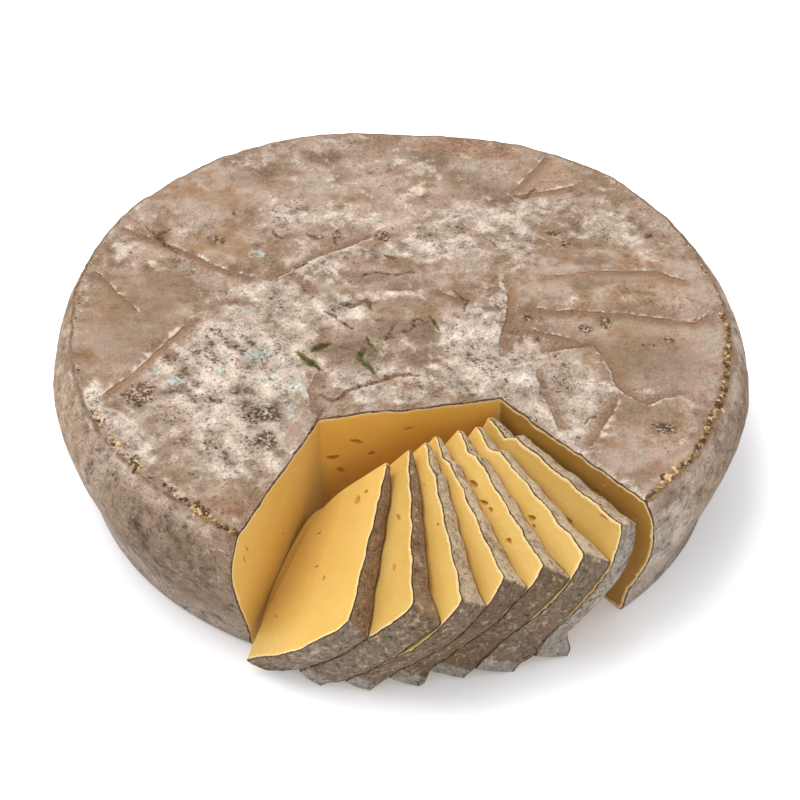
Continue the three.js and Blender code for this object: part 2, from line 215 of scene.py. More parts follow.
# Eyes in the cut faces: place along and up the face, half length, half width, turn, depth.
WALL_EYES = {
    "left": [(68.2, 57.8, 2.6, 0.35, 62, 0.7), (71, 54.2, 2.4, 0.35, 70, 0.7), (37.5, 36.8, 1.2, 0.6, 20, 0.5)],
    "back": [(16.1, 55.6, 3.0, 1.0, -24, 1.4), (5.6, 47.6, 2.7, 1.1, 4, 1.8), (22.6, 47.4, 1.7, 1.1, 10, 1.6),
             (8.4, 39.6, 2.6, 1.0, -50, 0.7), (39.1, 59.7, 2.2, 0.8, 8, 0.8)],
    "right": [(61.4, 64.7, 1.8, 0.6, 20, 0.9), (58, 58.2, 2.0, 0.6, 30, 0.9), (79.3, 58.6, 1.4, 0.7, 0, 0.8)],
}
SLICE_EYES = [
    [(-60.1, 61, 1.3, 0.9, 60, 1.0), (-57.3, 56.5, 2.2, 1.6, 20, 0.9), (-46.5, 36.1, 1.4, 0.5, 80, 0.5),
     (-28.5, 40.4, 1.6, 0.5, 80, 0.5), (-20.8, 47.5, 1.2, 1.0, 0, 0.6), (-9, 22, 1.0, 0.5, 40, 0.4)],
    [(-43.9, 62.6, 2.2, 0.7, 30, 1.2), (-19.2, 59.8, 1.8, 1.0, 0, 0.8)],
    [(-36.6, 66.8, 0.9, 0.6, 30, 0.9), (-60, 64, 0.8, 0.5, 10, 0.6)],
    [(-52, 64, 1.0, 0.5, 20, 0.7)],
    [(-49.6, 62.6, 2.6, 1.3, 25, 1.6), (-38.6, 62.5, 2.4, 0.8, 30, 1.3), (-33.4, 63.5, 1.4, 0.8, 10, 1.2),
     (-15.7, 63.4, 1.7, 0.9, 20, 1.3)],
    [(-24.9, 62.7, 2.0, 1.0, 30, 1.4), (-21.5, 61.1, 1.0, 0.7, 0, 0.9)],
    [(-17.7, 56.9, 1.9, 1.2, 20, 1.3), (-4.3, 55.1, 2.3, 0.8, 0, 1.2), (-3.8, 68.7, 2.2, 0.5, 5, 0.8)],
]

# The camera: lens in millimetres, shift of its view, degrees above the table, metres from the wheel.
CAMERA = {"lens": 76.55, "shift": (-0.0024, -0.0314), "elevation": 41.456, "distance": 0.802}

# How finely each surface is faceted, in millimetres.
TOP_STEP = 1.22
SIDE_STEP = 1.8
WALL_STEP = 1.7
FACE_STEP = 1.6
BASE_STEP = 5.0
BACK_STEP = 2.6
EDGE_STEP = 1.25
FOLD_STEP = 1.1
STRIP_ROWS = 9
# Rings of corners round each eye, as shares of its size, and the space left free round eyes and walls.
EYE_RINGS = ((0.45, 8), (0.78, 12), (0.95, 16), (1.1, 16), (1.45, 14))
EYE_CLEAR = 0.8
WALL_CLEAR = 0.6
# Edges sharper than this many degrees stay sharp.
SHARP_ANGLE = 38
# Beyond these distances a fold or an edge no longer changes the looks.
FOLD_FAR = 12.0
EDGE_FAR = 30.0


# ---- Random values that are the same on every run ----


def lattice(cells, seed):
    """A fixed random value from -1 to 1 for each whole-number point."""
    mixed = (cells[:, 0] * 374761393 + cells[:, 1] * 668265263 + cells[:, 2] * 1440662683 + seed * 974634777)
    mixed &= 0xFFFFFFFF
    mixed = ((mixed ^ (mixed >> 13)) * 1274126177) & 0xFFFFFFFF
    return ((mixed ^ (mixed >> 16)) & 0xFFFF) / 32767.5 - 1


def rough(points, size, seed=0, octaves=1):
    """Smooth random values from about -1 to 1, with lumps about size across."""
    total = np.zeros(len(points))
    weight = 1.0
    for octave in range(octaves):
        spread = points / size * 2**octave + 17.3 * octave
        cell = np.floor(spread).astype(np.int64)
        share = spread - cell
        share = share * share * (3 - 2 * share)
        for corner in range(8):
            step = np.array([corner & 1, corner >> 1 & 1, corner >> 2 & 1])
            weights = np.where(step, share, 1 - share).prod(axis=1)
            total += weight * weights * lattice(cell + step, seed + octave)
        weight *= 0.5
    return total


def flat_rough(x, y, size, seed=0, octaves=1):
    """The same random values for places on a plane."""
    return rough(np.stack([x, y, np.full(len(x), 3.7)], axis=1), size, seed, octaves)


# ---- The wheel's surface ----


def shifted(x, y, sway, size, seeds):
    """The places moved about at random, which makes straight outlines ragged."""
    return tuple(part + sway * flat_rough(x, y, size, seed, 2) for part, seed in zip((x, y), seeds))


def smooth_step(value, low, high):
    """0 below low and 1 above high, with a smooth way between."""
    share = np.clip((value - low) / (high - low), 0, 1)
    return share * share * (3 - 2 * share)


def hump(value, at, width):
    """1 at a place, falling smoothly to 0 about two widths away."""
    return np.exp(-(((value - at) / width) ** 2))


def way_to(heading):
    """The level direction at a heading in degrees."""
    return np.array([math.cos(heading * RAD), math.sin(heading * RAD)])


def square_to(way):
    """The level direction a quarter turn to the left of another."""
    return np.array([-way[1], way[0]])


def lobes_at(azimuth, lobes):
    """How far a sum of waves round the wheel stands out at each azimuth."""
    return sum(size * np.cos(waves * (azimuth - crest * RAD)) for waves, size, crest in lobes)


def side_radius(z, side):
    """Radius of a round wheel's side at each height: full at the belly, drawn in to foot and rim."""
    up = np.clip((z - BELLY_AT) / (HEIGHT - BELLY_AT), 0, None)
    down = np.clip((BELLY_AT - z) / BELLY_AT, 0, 1)
    over = side["belly"] - (side["belly"] - side["rim"]) * up ** side["shoulder"]
    under = side["foot"] + (side["belly"] - side["foot"]) * (0.5 + 0.5 * np.cos(np.pi * down))
    return np.where(z > BELLY_AT, over, under)


def side_profile():
    """Radius and height up the side of a round wheel, from the underside to the top."""
    points = []
    foot = side_radius(np.array(FOOT_ROUND), WHEEL_SIDE) - FOOT_ROUND
    for turn in np.linspace(0, math.pi / 2, 5)[:-1]:
        points.append((foot + FOOT_ROUND * math.sin(turn), FOOT_ROUND * (1 - math.cos(turn))))
    low, high = FOOT_ROUND, HEIGHT - RIM_ROUND
    for z in np.linspace(low, high, round((high - low) / SIDE_STEP) + 1):
        points.append((float(side_radius(z, WHEEL_SIDE)), z))
    rim = side_radius(np.array(high), WHEEL_SIDE) - RIM_ROUND
    for turn in np.linspace(0, math.pi / 2, 5)[1:]:
        points.append((rim + RIM_ROUND * math.cos(turn), high + RIM_ROUND * math.sin(turn)))
    return np.array(points)


def side_relief(azimuth, z):
    """How far the side stands out from round, with its lumps and brush marks."""
    up = np.clip((z - BELLY_AT) / (HEIGHT - BELLY_AT), 0, 1)
    out = lobes_at(azimuth, RIM_LOBES) * up + lobes_at(azimuth, SIDE_LOBES) * (1 - up)
    out += 0.5 * np.sin(9 * azimuth + 0.09 * z) * np.sin(np.pi * z / HEIGHT)
    around = np.stack([MEAN_RADIUS * np.cos(azimuth), MEAN_RADIUS * np.sin(azimuth), z], axis=1)
    inside = smooth_step(z, 0, 6)
    out += inside * (0.45 * rough(around, 21, 5) + 0.3 * rough(around, 7, 6) + 0.16 * rough(around, 3, 7))
    near_rim = smooth_step(z, HEIGHT - 7, HEIGHT - 1)
    out += near_rim * (0.4 * rough(around, 9, 8) + 0.42 * rough(around, 3.6, 9))
    return out


def length_along(path):
    """How far along a path each of its corners is."""
    return np.concatenate([[0], np.cumsum(np.hypot(*np.diff(path, axis=0).T))])


def wavy(path, seed=0):
    """A path with many points, which wanders a little as a fold in cloth does."""
    corners = np.array(path, float)
    along = length_along(corners)
    spots = np.linspace(0, along[-1], max(2, round(along[-1] / FOLD_STEP)))
    x, y = (np.interp(spots, along, corners[:, i]) for i in (0, 1))
    ends = np.minimum(1, np.minimum(spots, along[-1] - spots) / 6 + 0.2)
    return np.stack([
        part + 0.9 * ends * flat_rough(x, y, 9, 31 + i + seed) + 0.35 * flat_rough(x, y, 3, 33 + i + seed)
        for i, part in enumerate((x, y))
    ], axis=1)


def to_path(x, y, path):
    """Distance to a path, which side of it each point is on, and how far along."""
    nearest = np.full(len(x), 1e9)
    side = np.zeros(len(x))
    along = np.zeros(len(x))
    for i in range(len(path) - 1):
        start, leg = path[i], path[i + 1] - path[i]
        size = max(leg @ leg, 1e-9)
        share = np.clip(((x - start[0]) * leg[0] + (y - start[1]) * leg[1]) / size, 0, 1)
        dx = x - start[0] - share * leg[0]
        dy = y - start[1] - share * leg[1]
        distance = np.hypot(dx, dy)
        closer = distance < nearest
        nearest = np.where(closer, distance, nearest)
        side = np.where(closer, np.sign(leg[0] * dy - leg[1] * dx), side)
        along = np.where(closer, (i + share) / (len(path) - 1), along)
    return nearest, side, along


def close_to(x, y, path, margin):
    """Which places are inside a path's box with a margin round it."""
    low, high = path.min(axis=0) - margin, path.max(axis=0) + margin
    return (x > low[0]) & (x < high[0]) & (y > low[1]) & (y < high[1])


def patches(x, y, spots, sway, soft, seed):
    """Strength from 0 to 1 of a scatter of patches with ragged outlines."""
    field = np.zeros(len(x))
    sx, sy = shifted(x, y, sway, 11, (51 + seed, 53 + seed))
    for cx, cy, rx, ry, strength in spots:
        away = np.hypot((sx - cx) / rx, (sy - cy) / ry)
        field = np.maximum(field, strength * smooth_step(-away, -1 - soft, -1 + soft))
    return field


def strokes(x, y, lines, seed):
    """Strength from 0 to 1 of short strokes with ragged outlines."""
    field = np.zeros(len(x))
    sx, sy = shifted(x, y, 1.1, 3.5, (seed, seed + 1))
    for path, width in lines:
        points = np.array(path, float)
        near = close_to(x, y, points, 6)
        away, _, along = to_path(sx[near], sy[near], points)
        reach = width * (0.75 + 0.5 * np.sin(math.pi * along))
        field[near] = np.maximum(field[near], smooth_step(-away, -1.25 * reach, -0.35 * reach))
    return field


FOLD_PATHS = [wavy(path, seed=4 * i) for i, (path, *_) in enumerate(FOLDS)]


def golden(x, y):
    """How much crumbly golden crust the rim has at each place: along the right, and in bits at the front left."""
    turned = np.arctan2(y, x) / RAD % 360
    right = smooth_step(turned, 308, 312) * 0.9 + (turned < 14) * (1 - smooth_step(turned, -8, 14)) * 0.75
    left = smooth_step(turned, 232, 238) * (1 - smooth_step(turned, 246, 250)) * 0.9 + 0.5 * hump(turned, 219, 4.5)
    inner = CRUST_RADIUS + side_relief(turned * RAD, np.full(len(x), HEIGHT)) - np.hypot(x, y)
    return (right + left) * hump(inner + 0.6 * flat_rough(x, y, 6, 85), 0, 3.0)


LEFT_WAY, RIGHT_WAY = way_to(LEFT_HEADING), way_to(RIGHT_HEADING)
BACK_WAY = (GAP_RIGHT - GAP_LEFT) / np.hypot(*(GAP_RIGHT - GAP_LEFT))
LEFT_NORMAL = way_to(LEFT_HEADING + 90)
GAP_LINE = np.array([GAP_LEFT + GAP_REACH * LEFT_WAY, GAP_LEFT, GAP_RIGHT, GAP_RIGHT + GAP_REACH * RIGHT_WAY])
# Each wall of the gap: the corner it starts from, which way it runs, and which way is into the gap.
WALLS = {
    "left": (GAP_LEFT, LEFT_WAY, square_to(LEFT_WAY)),
    "right": (GAP_RIGHT, RIGHT_WAY, -square_to(RIGHT_WAY)),
    "back": (GAP_LEFT, BACK_WAY, -square_to(BACK_WAY)),
}


def folds_at(x, y):
    """Height of the folds, how far away the nearest is, and the painted light and shade beside it: light on its higher
    side, shade on its lower.
    """
    fold_mm = np.full(len(x), FOLD_FAR)
    relief = np.zeros(len(x))
    fold_light_and_shade = np.zeros(len(x))
    for path, (_, depth, width, step) in zip(FOLD_PATHS, FOLDS):
        near = close_to(x, y, path, 24)
        away, side, along = to_path(x[near], y[near], path)
        ends = smooth_step(np.minimum(along, 1 - along), -0.02, 0.1)
        depth = depth * np.clip(0.65 + 0.8 * flat_rough(x[near], y[near], 17, 35), 0.25, 1.3)
        groove = np.maximum(-depth * hump(away, 0, width), -2.2)
        lip = 0.9 * step * side * np.exp(-away / 9) * smooth_step(away, 0, 3.5)
        relief[near] += ends * (groove + lip)
        fold_mm[near] = np.minimum(fold_mm[near], away + 8 * (1 - ends))
        higher = side * np.sign(step)
        shade = higher * ends * np.exp(-away / np.where(higher > 0, 2.6, 5.0))
        fold_light_and_shade[near] = np.where(np.abs(shade) > np.abs(fold_light_and_shade[near]), shade, fold_light_and_shade[near])
    return relief, fold_mm, fold_light_and_shade


def top_surface(x, y, crease_scale, lump_scale):
    """Height over the top's plane and the patch values of each point."""
    swell = 0.55 * np.sin(2 * math.pi * x / 88 + 0.8) * np.cos(2 * math.pi * y / 104 - 0.5)
    off_ring = np.hypot(x - RING["centre"][0], y - RING["centre"][1]) - RING["radius"] + 3 * flat_rough(x, y, 16, 61)
    ring = -RING["depth"] * hump(off_ring, 0, RING["width"])
    relief, fold_mm, fold_light_and_shade = folds_at(x, y)
    mould, smooth, specks, bloom, rust, smudge = (
        patches(x, y, spots, sway, soft, seed)
        for spots, sway, soft, seed in (
            (MOULD, 4.5, 0.4, 1), (SMOOTH, 4.0, 0.35, 2), (SPECKS, 1.5, 0.5, 3),
            (BLOOM, 2.0, 0.6, 4), (RUST, 3.0, 0.6, 6), (SMUDGE, 3.0, 0.8, 7),
        )
    )
    olive, scar = strokes(x, y, OLIVE, 41), strokes(x, y, SCARS, 43)
    crust = hump(to_path(x, y, GAP_LINE[2:])[0], 0, 3.5) * smooth_step(x, 60, 75)
    mould, bloom = np.maximum(mould, crust), np.maximum(bloom, 0.8 * crust)
    coarse = 0.4 + 0.6 * mould
    coarse *= 1 - 0.7 * smooth * (1 - mould)
    soft, small = flat_rough(x, y, 6.5, 73), flat_rough(x, y, 3.2, 74)
    left_drag = flat_rough(0.84 * x + 0.54 * y, (0.54 * x - 0.84 * y) * 0.3, 4.6, 75)
    right_drag = flat_rough((0.99 * x - 0.12 * y) * 0.28, 0.12 * x + 0.99 * y, 6.0, 79)
    drag = left_drag + (right_drag - left_drag) * smooth_step(x, 5, 50)
    crest = coarse * (0.45 * soft + 0.3 * small) + (0.2 + 0.5 * mould) * drag
    lumps = 0.4 * flat_rough(x, y, 26, 71) + 0.16 * flat_rough(x, y, 11, 72) + 0.95 * crest
    pits = specks * (0.9 * np.minimum(0.2, flat_rough(x, y, 2.6, 76)) - 0.1) - 0.7 * scar - 0.4 * olive
    from_cut = to_path(x, y, GAP_LINE)[0]
    burr = np.exp(-from_cut / 2.4) * (0.85 * flat_rough(x, y, 7, 77) + 0.5 * flat_rough(x, y, 2.6, 78))
    burr -= 0.3 * np.exp(-from_cut / 0.7)
    gold = golden(x, y)
    crumbly = gold * (0.35 + 0.7 * flat_rough(x, y, 4.2, 86) + 0.45 * flat_rough(x, y, 2.1, 87))
    z = swell + ring + crease_scale * relief + lump_scale * (lumps + pits + burr + crumbly)
    return z, {
        "gold": gold,
        "growth": np.stack([mould, specks, bloom], axis=1),
        "stain": np.stack([rust, smooth, smudge], axis=1),
        "fold_mm": fold_mm,
        "marks": np.stack([olive, scar, fold_light_and_shade], axis=1),
        "crest": 0.5 + 0.6 * crest + 0.12 * small,
    }


# ---- Building meshes from shared corners ----


def place_object(name, data):
    """An object in the scene for a mesh, light or camera."""
    made = bpy.data.objects.new(name, data)
    bpy.context.scene.collection.objects.link(made)
    return made


class Shell:
    """Corners in millimetres with their values, and the triangles over them."""

    # The values that a corner carries, each with how many numbers it has and what it starts from.
    VALUES = {
        "growth": (3, 0.0), "stain": (3, 0.0), "marks": (3, 0.0), "fold_mm": (1, FOLD_FAR), "crest": (1, 0.5),
        "gold": (1, 0.0), "rim_mm": (1, EDGE_FAR), "cut_mm": (1, EDGE_FAR), "eye": (1, 0.0), "side": (1, 0.0),
    }

    def __init__(self):
        self.corners = []
        self.values = {name: [] for name in self.VALUES}
        self.count = 0
        self.triangles = []
        self.finish = []

    def add(self, points, **values):
        """Adds corners and returns their numbers."""
        points = np.asarray(points, float)
        self.corners.append(points)
        for name, (width, start) in self.VALUES.items():
            given = np.asarray(values.get(name, start), float)
            given = given.reshape(-1, width) if given.ndim else given
            self.values[name].append(np.broadcast_to(given, (len(points), width)))
        numbers = np.arange(self.count, self.count + len(points))
        self.count += len(points)
        return numbers

    def places(self, numbers):
        """Where the corners with these numbers are."""
        return np.concatenate(self.corners)[numbers]

    def cover(self, triangles, finish):
        """Adds triangles, with the number of their material."""
        self.triangles.append(triangles)
        self.finish.append(np.full(len(triangles), finish))

    def grid(self, numbers, finish):
        """Covers a grid of corners with triangles."""
        a, b = numbers[:-1, :-1].ravel(), numbers[1:, :-1].ravel()
        c, d = numbers[1:, 1:].ravel(), numbers[:-1, 1:].ravel()
        self.cover(np.concatenate([np.stack([a, b, c], 1), np.stack([a, c, d], 1)]), finish)

    def fill(self, loop, flat_loop, inner, flat_inner, finish):
        """Covers the area inside a loop of corners, through inner corners, by their flat places."""
        numbers = np.concatenate([loop, inner])
        flat = np.concatenate([flat_loop, flat_inner])
        edges = [(i, (i + 1) % len(loop)) for i in range(len(loop))]
        result = delaunay_2d_cdt([Vector(p) for p in flat.tolist()], edges, [], 1, 1e-5)
        source = np.array([origin[0] for origin in result[3]])
        faces = np.array([face for face in result[2] if len(face) == 3])
        self.cover(numbers[source[faces]], finish)

    def to_object(self, name, materials):
        """The shell as a closed mesh object, with faces outwards and its values as attributes."""
        triangles = np.concatenate(self.triangles)
        mesh = bpy.data.meshes.new(name)
        mesh.vertices.add(self.count)
        mesh.vertices.foreach_set("co", (np.concatenate(self.corners) * MM).ravel())
        mesh.loops.add(triangles.size)
        mesh.loops.foreach_set("vertex_index", triangles.ravel().astype(np.int32))
        mesh.polygons.add(len(triangles))
        mesh.polygons.foreach_set("loop_start", np.arange(0, triangles.size, 3, dtype=np.int32))
        for material in materials:
            mesh.materials.append(material)
        mesh.polygons.foreach_set("material_index", np.concatenate(self.finish).astype(np.int32))
        mesh.update(calc_edges=True)
        for key, parts in self.values.items():
            values = np.concatenate(parts)
            kind, field = ("FLOAT_VECTOR", "vector") if values.shape[1] == 3 else ("FLOAT", "value")
            mesh.attributes.new(key, kind, "POINT").data.foreach_set(field, values.ravel())
        work = bmesh.new()
        work.from_mesh(mesh)
        bmesh.ops.remove_doubles(work, verts=work.verts, dist=1e-7)
        bmesh.ops.recalc_face_normals(work, faces=work.faces)
        work.to_mesh(mesh)
        work.free()
        mesh.shade_smooth()
        mesh.set_sharp_from_angle(angle=SHARP_ANGLE * RAD)
        return place_object(name, mesh)


def hexes(low, high, step):
    """Evenly spread places between two corners, in offset rows."""
    rows = np.arange(low[1], high[1], step * 0.866)
    columns = np.arange(low[0], high[0], step)
    x, y = np.meshgrid(columns, rows)
    x = x + (np.arange(len(rows)) % 2)[:, None] * step / 2
    return np.stack([x.ravel(), y.ravel()], axis=1)


def clear_of(places, others, distance):
    """The places that are further than a distance from all the others."""
    keep = np.ones(len(places), bool)
    cell = {}
    for i, key in enumerate(map(tuple, np.floor(others / distance).astype(int).tolist())):
        cell.setdefault(key, []).append(i)
    keys = np.floor(places / distance).astype(int)
    for i, (kx, ky) in enumerate(keys.tolist()):
        for dx in (-1, 0, 1):
            for dy in (-1, 0, 1):
                for j in cell.get((kx + dx, ky + dy), ()):
                    if (places[i, 0] - others[j, 0]) ** 2 + (places[i, 1] - others[j, 1]) ** 2 < distance**2:
                        keep[i] = False
    return places[keep]


def eye_wobble(around, x, y):
    """How far an eye's outline is from a true oval, in each direction."""
    return 1 + 0.09 * np.sin(3 * around + x) + 0.06 * np.sin(5 * around + y)


def eye_places(eyes, size):
    """Rings of places that draw each eye's sharp edge."""
    rings = [np.zeros((0, 2))]
    for x, y, long, wide, turn, _ in eyes:
        c, s = way_to(turn)
        rings.append(np.array([(x, y)]))
        for share, count in EYE_RINGS:
            around = np.linspace(0, 2 * math.pi, count, endpoint=False)
            wobble = eye_wobble(around, x, y)
            a = size * share * long * np.cos(around) * wobble
            b = size * share * wide * np.sin(around) * wobble
            rings.append(np.stack([x + a * c - b * s, y + a * s + b * c], axis=1))
    return np.concatenate(rings)


def eye_depths(places, eyes, size):
    """How deep each eye goes at each place, and how far inside an eye it is."""
    depth = np.zeros(len(places))
    inside = np.zeros(len(places))
    for x, y, long, wide, turn, deep in eyes:
        c, s = way_to(turn)
        dx, dy = places[:, 0] - x, places[:, 1] - y
        a, b = (dx * c + dy * s) / long / size, (-dx * s + dy * c) / wide / size
        away = np.hypot(a, b) / eye_wobble(np.arctan2(b, a), x, y)
        bowl = np.sqrt(np.clip(1 - (away / 1.02) ** 2, 0, 1))
        depth = np.maximum(depth, deep * bowl)
        inside = np.maximum(inside, smooth_step(-away, -1.08, -0.9))
    return depth, inside


# ---- The wheel ----


def wall_end(name, radius, z):
    """How far along a wall the wheel's side is, and at which azimuth, at each height."""
    corner, way, _ = WALLS[name]
    reach = np.full(len(z), 90.0)
    for _ in range(40):
        place = corner + reach[:, None] * way
        azimuth = np.arctan2(place[:, 1], place[:, 0])
        wanted = radius + side_relief(azimuth, z)
        along = corner @ way
        reach = -along + np.sqrt(np.maximum(along**2 - corner @ corner + wanted**2, 0))
    return reach, azimuth


def build_wheel(settings, rind, paste):
    """The whole wheel with its gap, as one closed shell."""
    shell = Shell()
    profile = side_profile()
    radius, level = profile[:, 0], profile[:, 1]
    ends = {name: wall_end(name, radius, level) for name in ("left", "right")}
    left_azimuth, right_azimuth = ends["left"][1] + 2 * math.pi, ends["right"][1]
    columns = round((left_azimuth[-1] - right_azimuth[-1]) * MEAN_RADIUS / SIDE_STEP)
    share = np.linspace(0, 1, columns + 1)
    azimuth = right_azimuth[:, None] + (left_azimuth - right_azimuth)[:, None] * share
    z = np.repeat(level[:, None], columns + 1, axis=1)
    out = radius[:, None] + side_relief(azimuth.ravel(), z.ravel()).reshape(z.shape)
    x, y = out * np.cos(azimuth), out * np.sin(azimuth)

    def top_of(places):
        return top_surface(places[:, 0], places[:, 1], settings.crease, settings.lumps)

    # The side. Near the rim it takes the top's relief and looks, and lower down its own.
    lift, looks = top_of(np.stack([x.ravel(), y.ravel()], axis=1))
    upper = smooth_step(z, HEIGHT - 14, HEIGHT - RIM_ROUND)
    z = z + lift.reshape(z.shape) * upper
    below = (HEIGHT - level)[:, None] + 0 * z
    upper = upper.ravel()
    for key in ("growth", "stain", "marks"):
        looks[key] = looks[key] * upper[:, None] ** 3
    turned = (azimuth / RAD + 360) % 360
    pale = hump(turned, 312, 9) + 0.6 * hump(turned, 205, 14) * (1 - smooth_step(z, 12, 30))
    # Painted shade on the side at the front left, beside the gap, and on the right; it goes in with the smudges.
    front_shade = np.maximum(hump(turned, 232, 17) * smooth_step(z, 8, 26), 0.7 * hump(turned, 338, 16))
    looks["growth"][:, 2] += np.clip(pale, 0, 1).ravel() * (1 - upper)
    looks["stain"][:, 2] += front_shade.ravel() * (1 - upper**3)
    looks["crest"] = 0.5 + (looks["crest"] - 0.5) * upper**3
    looks["gold"] = looks["gold"] * smooth_step(z, HEIGHT - 3.2, HEIGHT - 0.8).ravel()
    looks["fold_mm"] = looks["fold_mm"] + 3 * below.ravel()
    from_cut = np.minimum(azimuth - right_azimuth[:, None], left_azimuth[:, None] - azimuth) * MEAN_RADIUS
    side = shell.add(
        np.stack([x, y, z], axis=2).reshape(-1, 3), **looks, rim_mm=-below.ravel(),
        cut_mm=np.minimum(from_cut, EDGE_FAR).ravel(), side=smooth_step(below, 0.4, 3.5).ravel(),
    ).reshape(z.shape)
    shell.grid(side, 0)

    # The walls share their outer edge with the side, and their inner edges with each other.
    def wall_row(corner, way, reach, on_top):
        along = np.linspace(0, reach, round(reach / WALL_STEP) + 1)[1:-1]
        place = corner + along[:, None] * way
        lift, looks = top_of(place) if on_top else (np.full(len(along), -HEIGHT), {})
        return shell.add(np.column_stack([place, HEIGHT + lift]), **looks, cut_mm=0.0)

    def corner_column(corner):
        lift, looks = top_of(corner[None])
        heights = np.linspace(0, HEIGHT + lift[0], round(HEIGHT / WALL_STEP) + 1)
        points = np.column_stack([np.repeat(corner[None], len(heights), 0), heights])
        looks = {key: np.repeat(value, len(heights), 0) for key, value in looks.items()}
        return shell.add(points, **looks, cut_mm=np.minimum(heights, heights[-1] - heights))

    def wall(name, reach, inner, outer):
        corner, way, into = WALLS[name]
        eyes = WALL_EYES[name]
        low, high = wall_row(corner, way, reach[0], False), wall_row(corner, way, reach[-1], True)
        loop = np.concatenate([inner[::-1], low, outer, high[::-1]])
        here = shell.places(loop)
        flat = np.column_stack([(here[:, :2] - corner) @ way, here[:, 2]])
        before, after = len(inner) + len(low), len(inner) + len(low) + len(outer)
        spots = hexes((WALL_STEP / 2, WALL_STEP / 2), (flat[:, 0].max(), flat[:, 1].max()), WALL_STEP)
        rings = eye_places(eyes, settings.eyes)
        spots = np.concatenate([clear_of(spots, rings, EYE_CLEAR), rings])
        along, up = spots.T
        top_z = np.interp(along, *zip(*sorted(flat[after:].tolist())))
        limit = np.interp(up, flat[before:after, 1], flat[before:after, 0])
        keep = (along > WALL_CLEAR) & (up > WALL_CLEAR) & (up < top_z - WALL_CLEAR) & (along < limit - WALL_CLEAR)
        spots, top_z, limit = spots[keep], top_z[keep], limit[keep]
        along, up = spots.T
        edge = np.minimum(np.minimum(top_z - up, up), limit - along)
        deep, eye = eye_depths(spots, eyes, settings.eyes)
        fade = smooth_step(edge, 0, 4) * smooth_step(along, 0, 4)
        if name == "back":
            fade *= smooth_step(reach[0] - along, 0, 4)
            edge = np.minimum(top_z - up, up)
        off = fade * (0.25 * flat_rough(along, up, 24, 81) + 0.1 * flat_rough(along, up * 0.4, 5, 82))
        if name == "back":  # the knife's short strokes at the corner
            stroke = smooth_step(along, 1, 3) * smooth_step(-along, -9, -6)
            off += 0.28 * stroke * np.sin(up * 2.6) + 0.8 * stroke * smooth_step(-up, -48, -44)
        place = corner + spots[:, :1] * way + (off - deep)[:, None] * into
        # side carries the wall's painted light and shade to its paste.
        numbers = shell.add(np.column_stack([place, up]), cut_mm=edge, eye=eye, side=WALL_LIGHT_AND_SHADE[name])
        shell.fill(loop, flat, numbers, spots, 1)
        return low, high

    left_column, right_column = corner_column(GAP_LEFT), corner_column(GAP_RIGHT)
    back_reach = np.full(len(level), float(np.hypot(*(GAP_RIGHT - GAP_LEFT))))
    left = wall("left", ends["left"][0], left_column, side[:, -1])
    right = wall("right", ends["right"][0], right_column, side[:, 0])
    back = wall("back", back_reach, left_column, right_column)

    def inside_rim(places, edge, margin):
        """Which places lie inside the rim and out of the gap, the rim's radius there, and how far into the gap."""
        here = shell.places(edge)
        edge_azimuth = np.unwrap(np.arctan2(here[:, 1], here[:, 0]))
        angle = np.arctan2(places[:, 1], places[:, 0])
        angle = np.where(angle < edge_azimuth[0], angle + 2 * math.pi, angle)
        rim = np.interp(angle, edge_azimuth, np.hypot(here[:, 0], here[:, 1]))
        into_gap = np.min([(places - corner) @ into for corner, _, into in WALLS.values()], axis=0)
        return (np.hypot(*places.T) < rim - margin) & (into_gap <= -margin), rim, into_gap

    def lid(end, spots, margin):
        """Closes the top or the underside, end being their place in each column, with corners at the spots."""
        edge = side[end]
        loop = np.concatenate([
            edge, left[end][::-1], left_column[[end]], back[end], right_column[[end]], right[end],
        ])
        spots = spots[inside_rim(spots, edge, margin)[0]]
        if end:
            _, rim, into_gap = inside_rim(spots, edge, 0)
            lift, looks = top_of(spots)
            looks["rim_mm"] = np.minimum(rim - np.hypot(*spots.T), EDGE_FAR)
            looks["cut_mm"] = np.clip(-into_gap, 0, EDGE_FAR)
        else:
            lift, looks = np.full(len(spots), -HEIGHT), {"side": 1.0}
        numbers = shell.add(np.column_stack([spots, HEIGHT + lift]), **looks)
        shell.fill(loop, shell.places(loop)[:, :2], numbers, spots, 0)

    folds = np.concatenate(FOLD_PATHS)
    top_spots, base_spots = (hexes((-160, -160), (162, 162), step) for step in (TOP_STEP, BASE_STEP))
    lid(-1, np.concatenate([clear_of(top_spots, folds, 0.75), folds]), 0.75)
    lid(0, base_spots, 2.5)
    return shell.to_object("wheel_cheese", [rind, paste])


# ---- The slices ----


def top_edge(from_inner, number):
    """How far a slice's rind edge is from straight: dented where it bent, wavy, and blunt at its inner end."""
    dent = DENT["step"] * number
    turn = 2 * math.pi * from_inner / RIND_WAVE["length"] + RIND_WAVE["lead"] * number
    past = (from_inner - DENT["reach"]) / DENT["back"]
    before = -dent * np.maximum(0, from_inner) / DENT["reach"]
    after = -dent * np.maximum(0, 1 - past) + RIND_WAVE["size"] * np.sin(turn) * np.minimum(1, past)
    blunt = -1.6 * np.clip(1 - from_inner / 3.5, 0, 1) ** 2
    return np.where(from_inner < DENT["reach"], before, after) + blunt


def along_line(start, end):
    """Places from one corner up to another, the last left out."""
    count = round(np.hypot(*(end - start)) / EDGE_STEP)
    return start + (end - start) * np.linspace(0, 1, count + 1)[:-1, None]


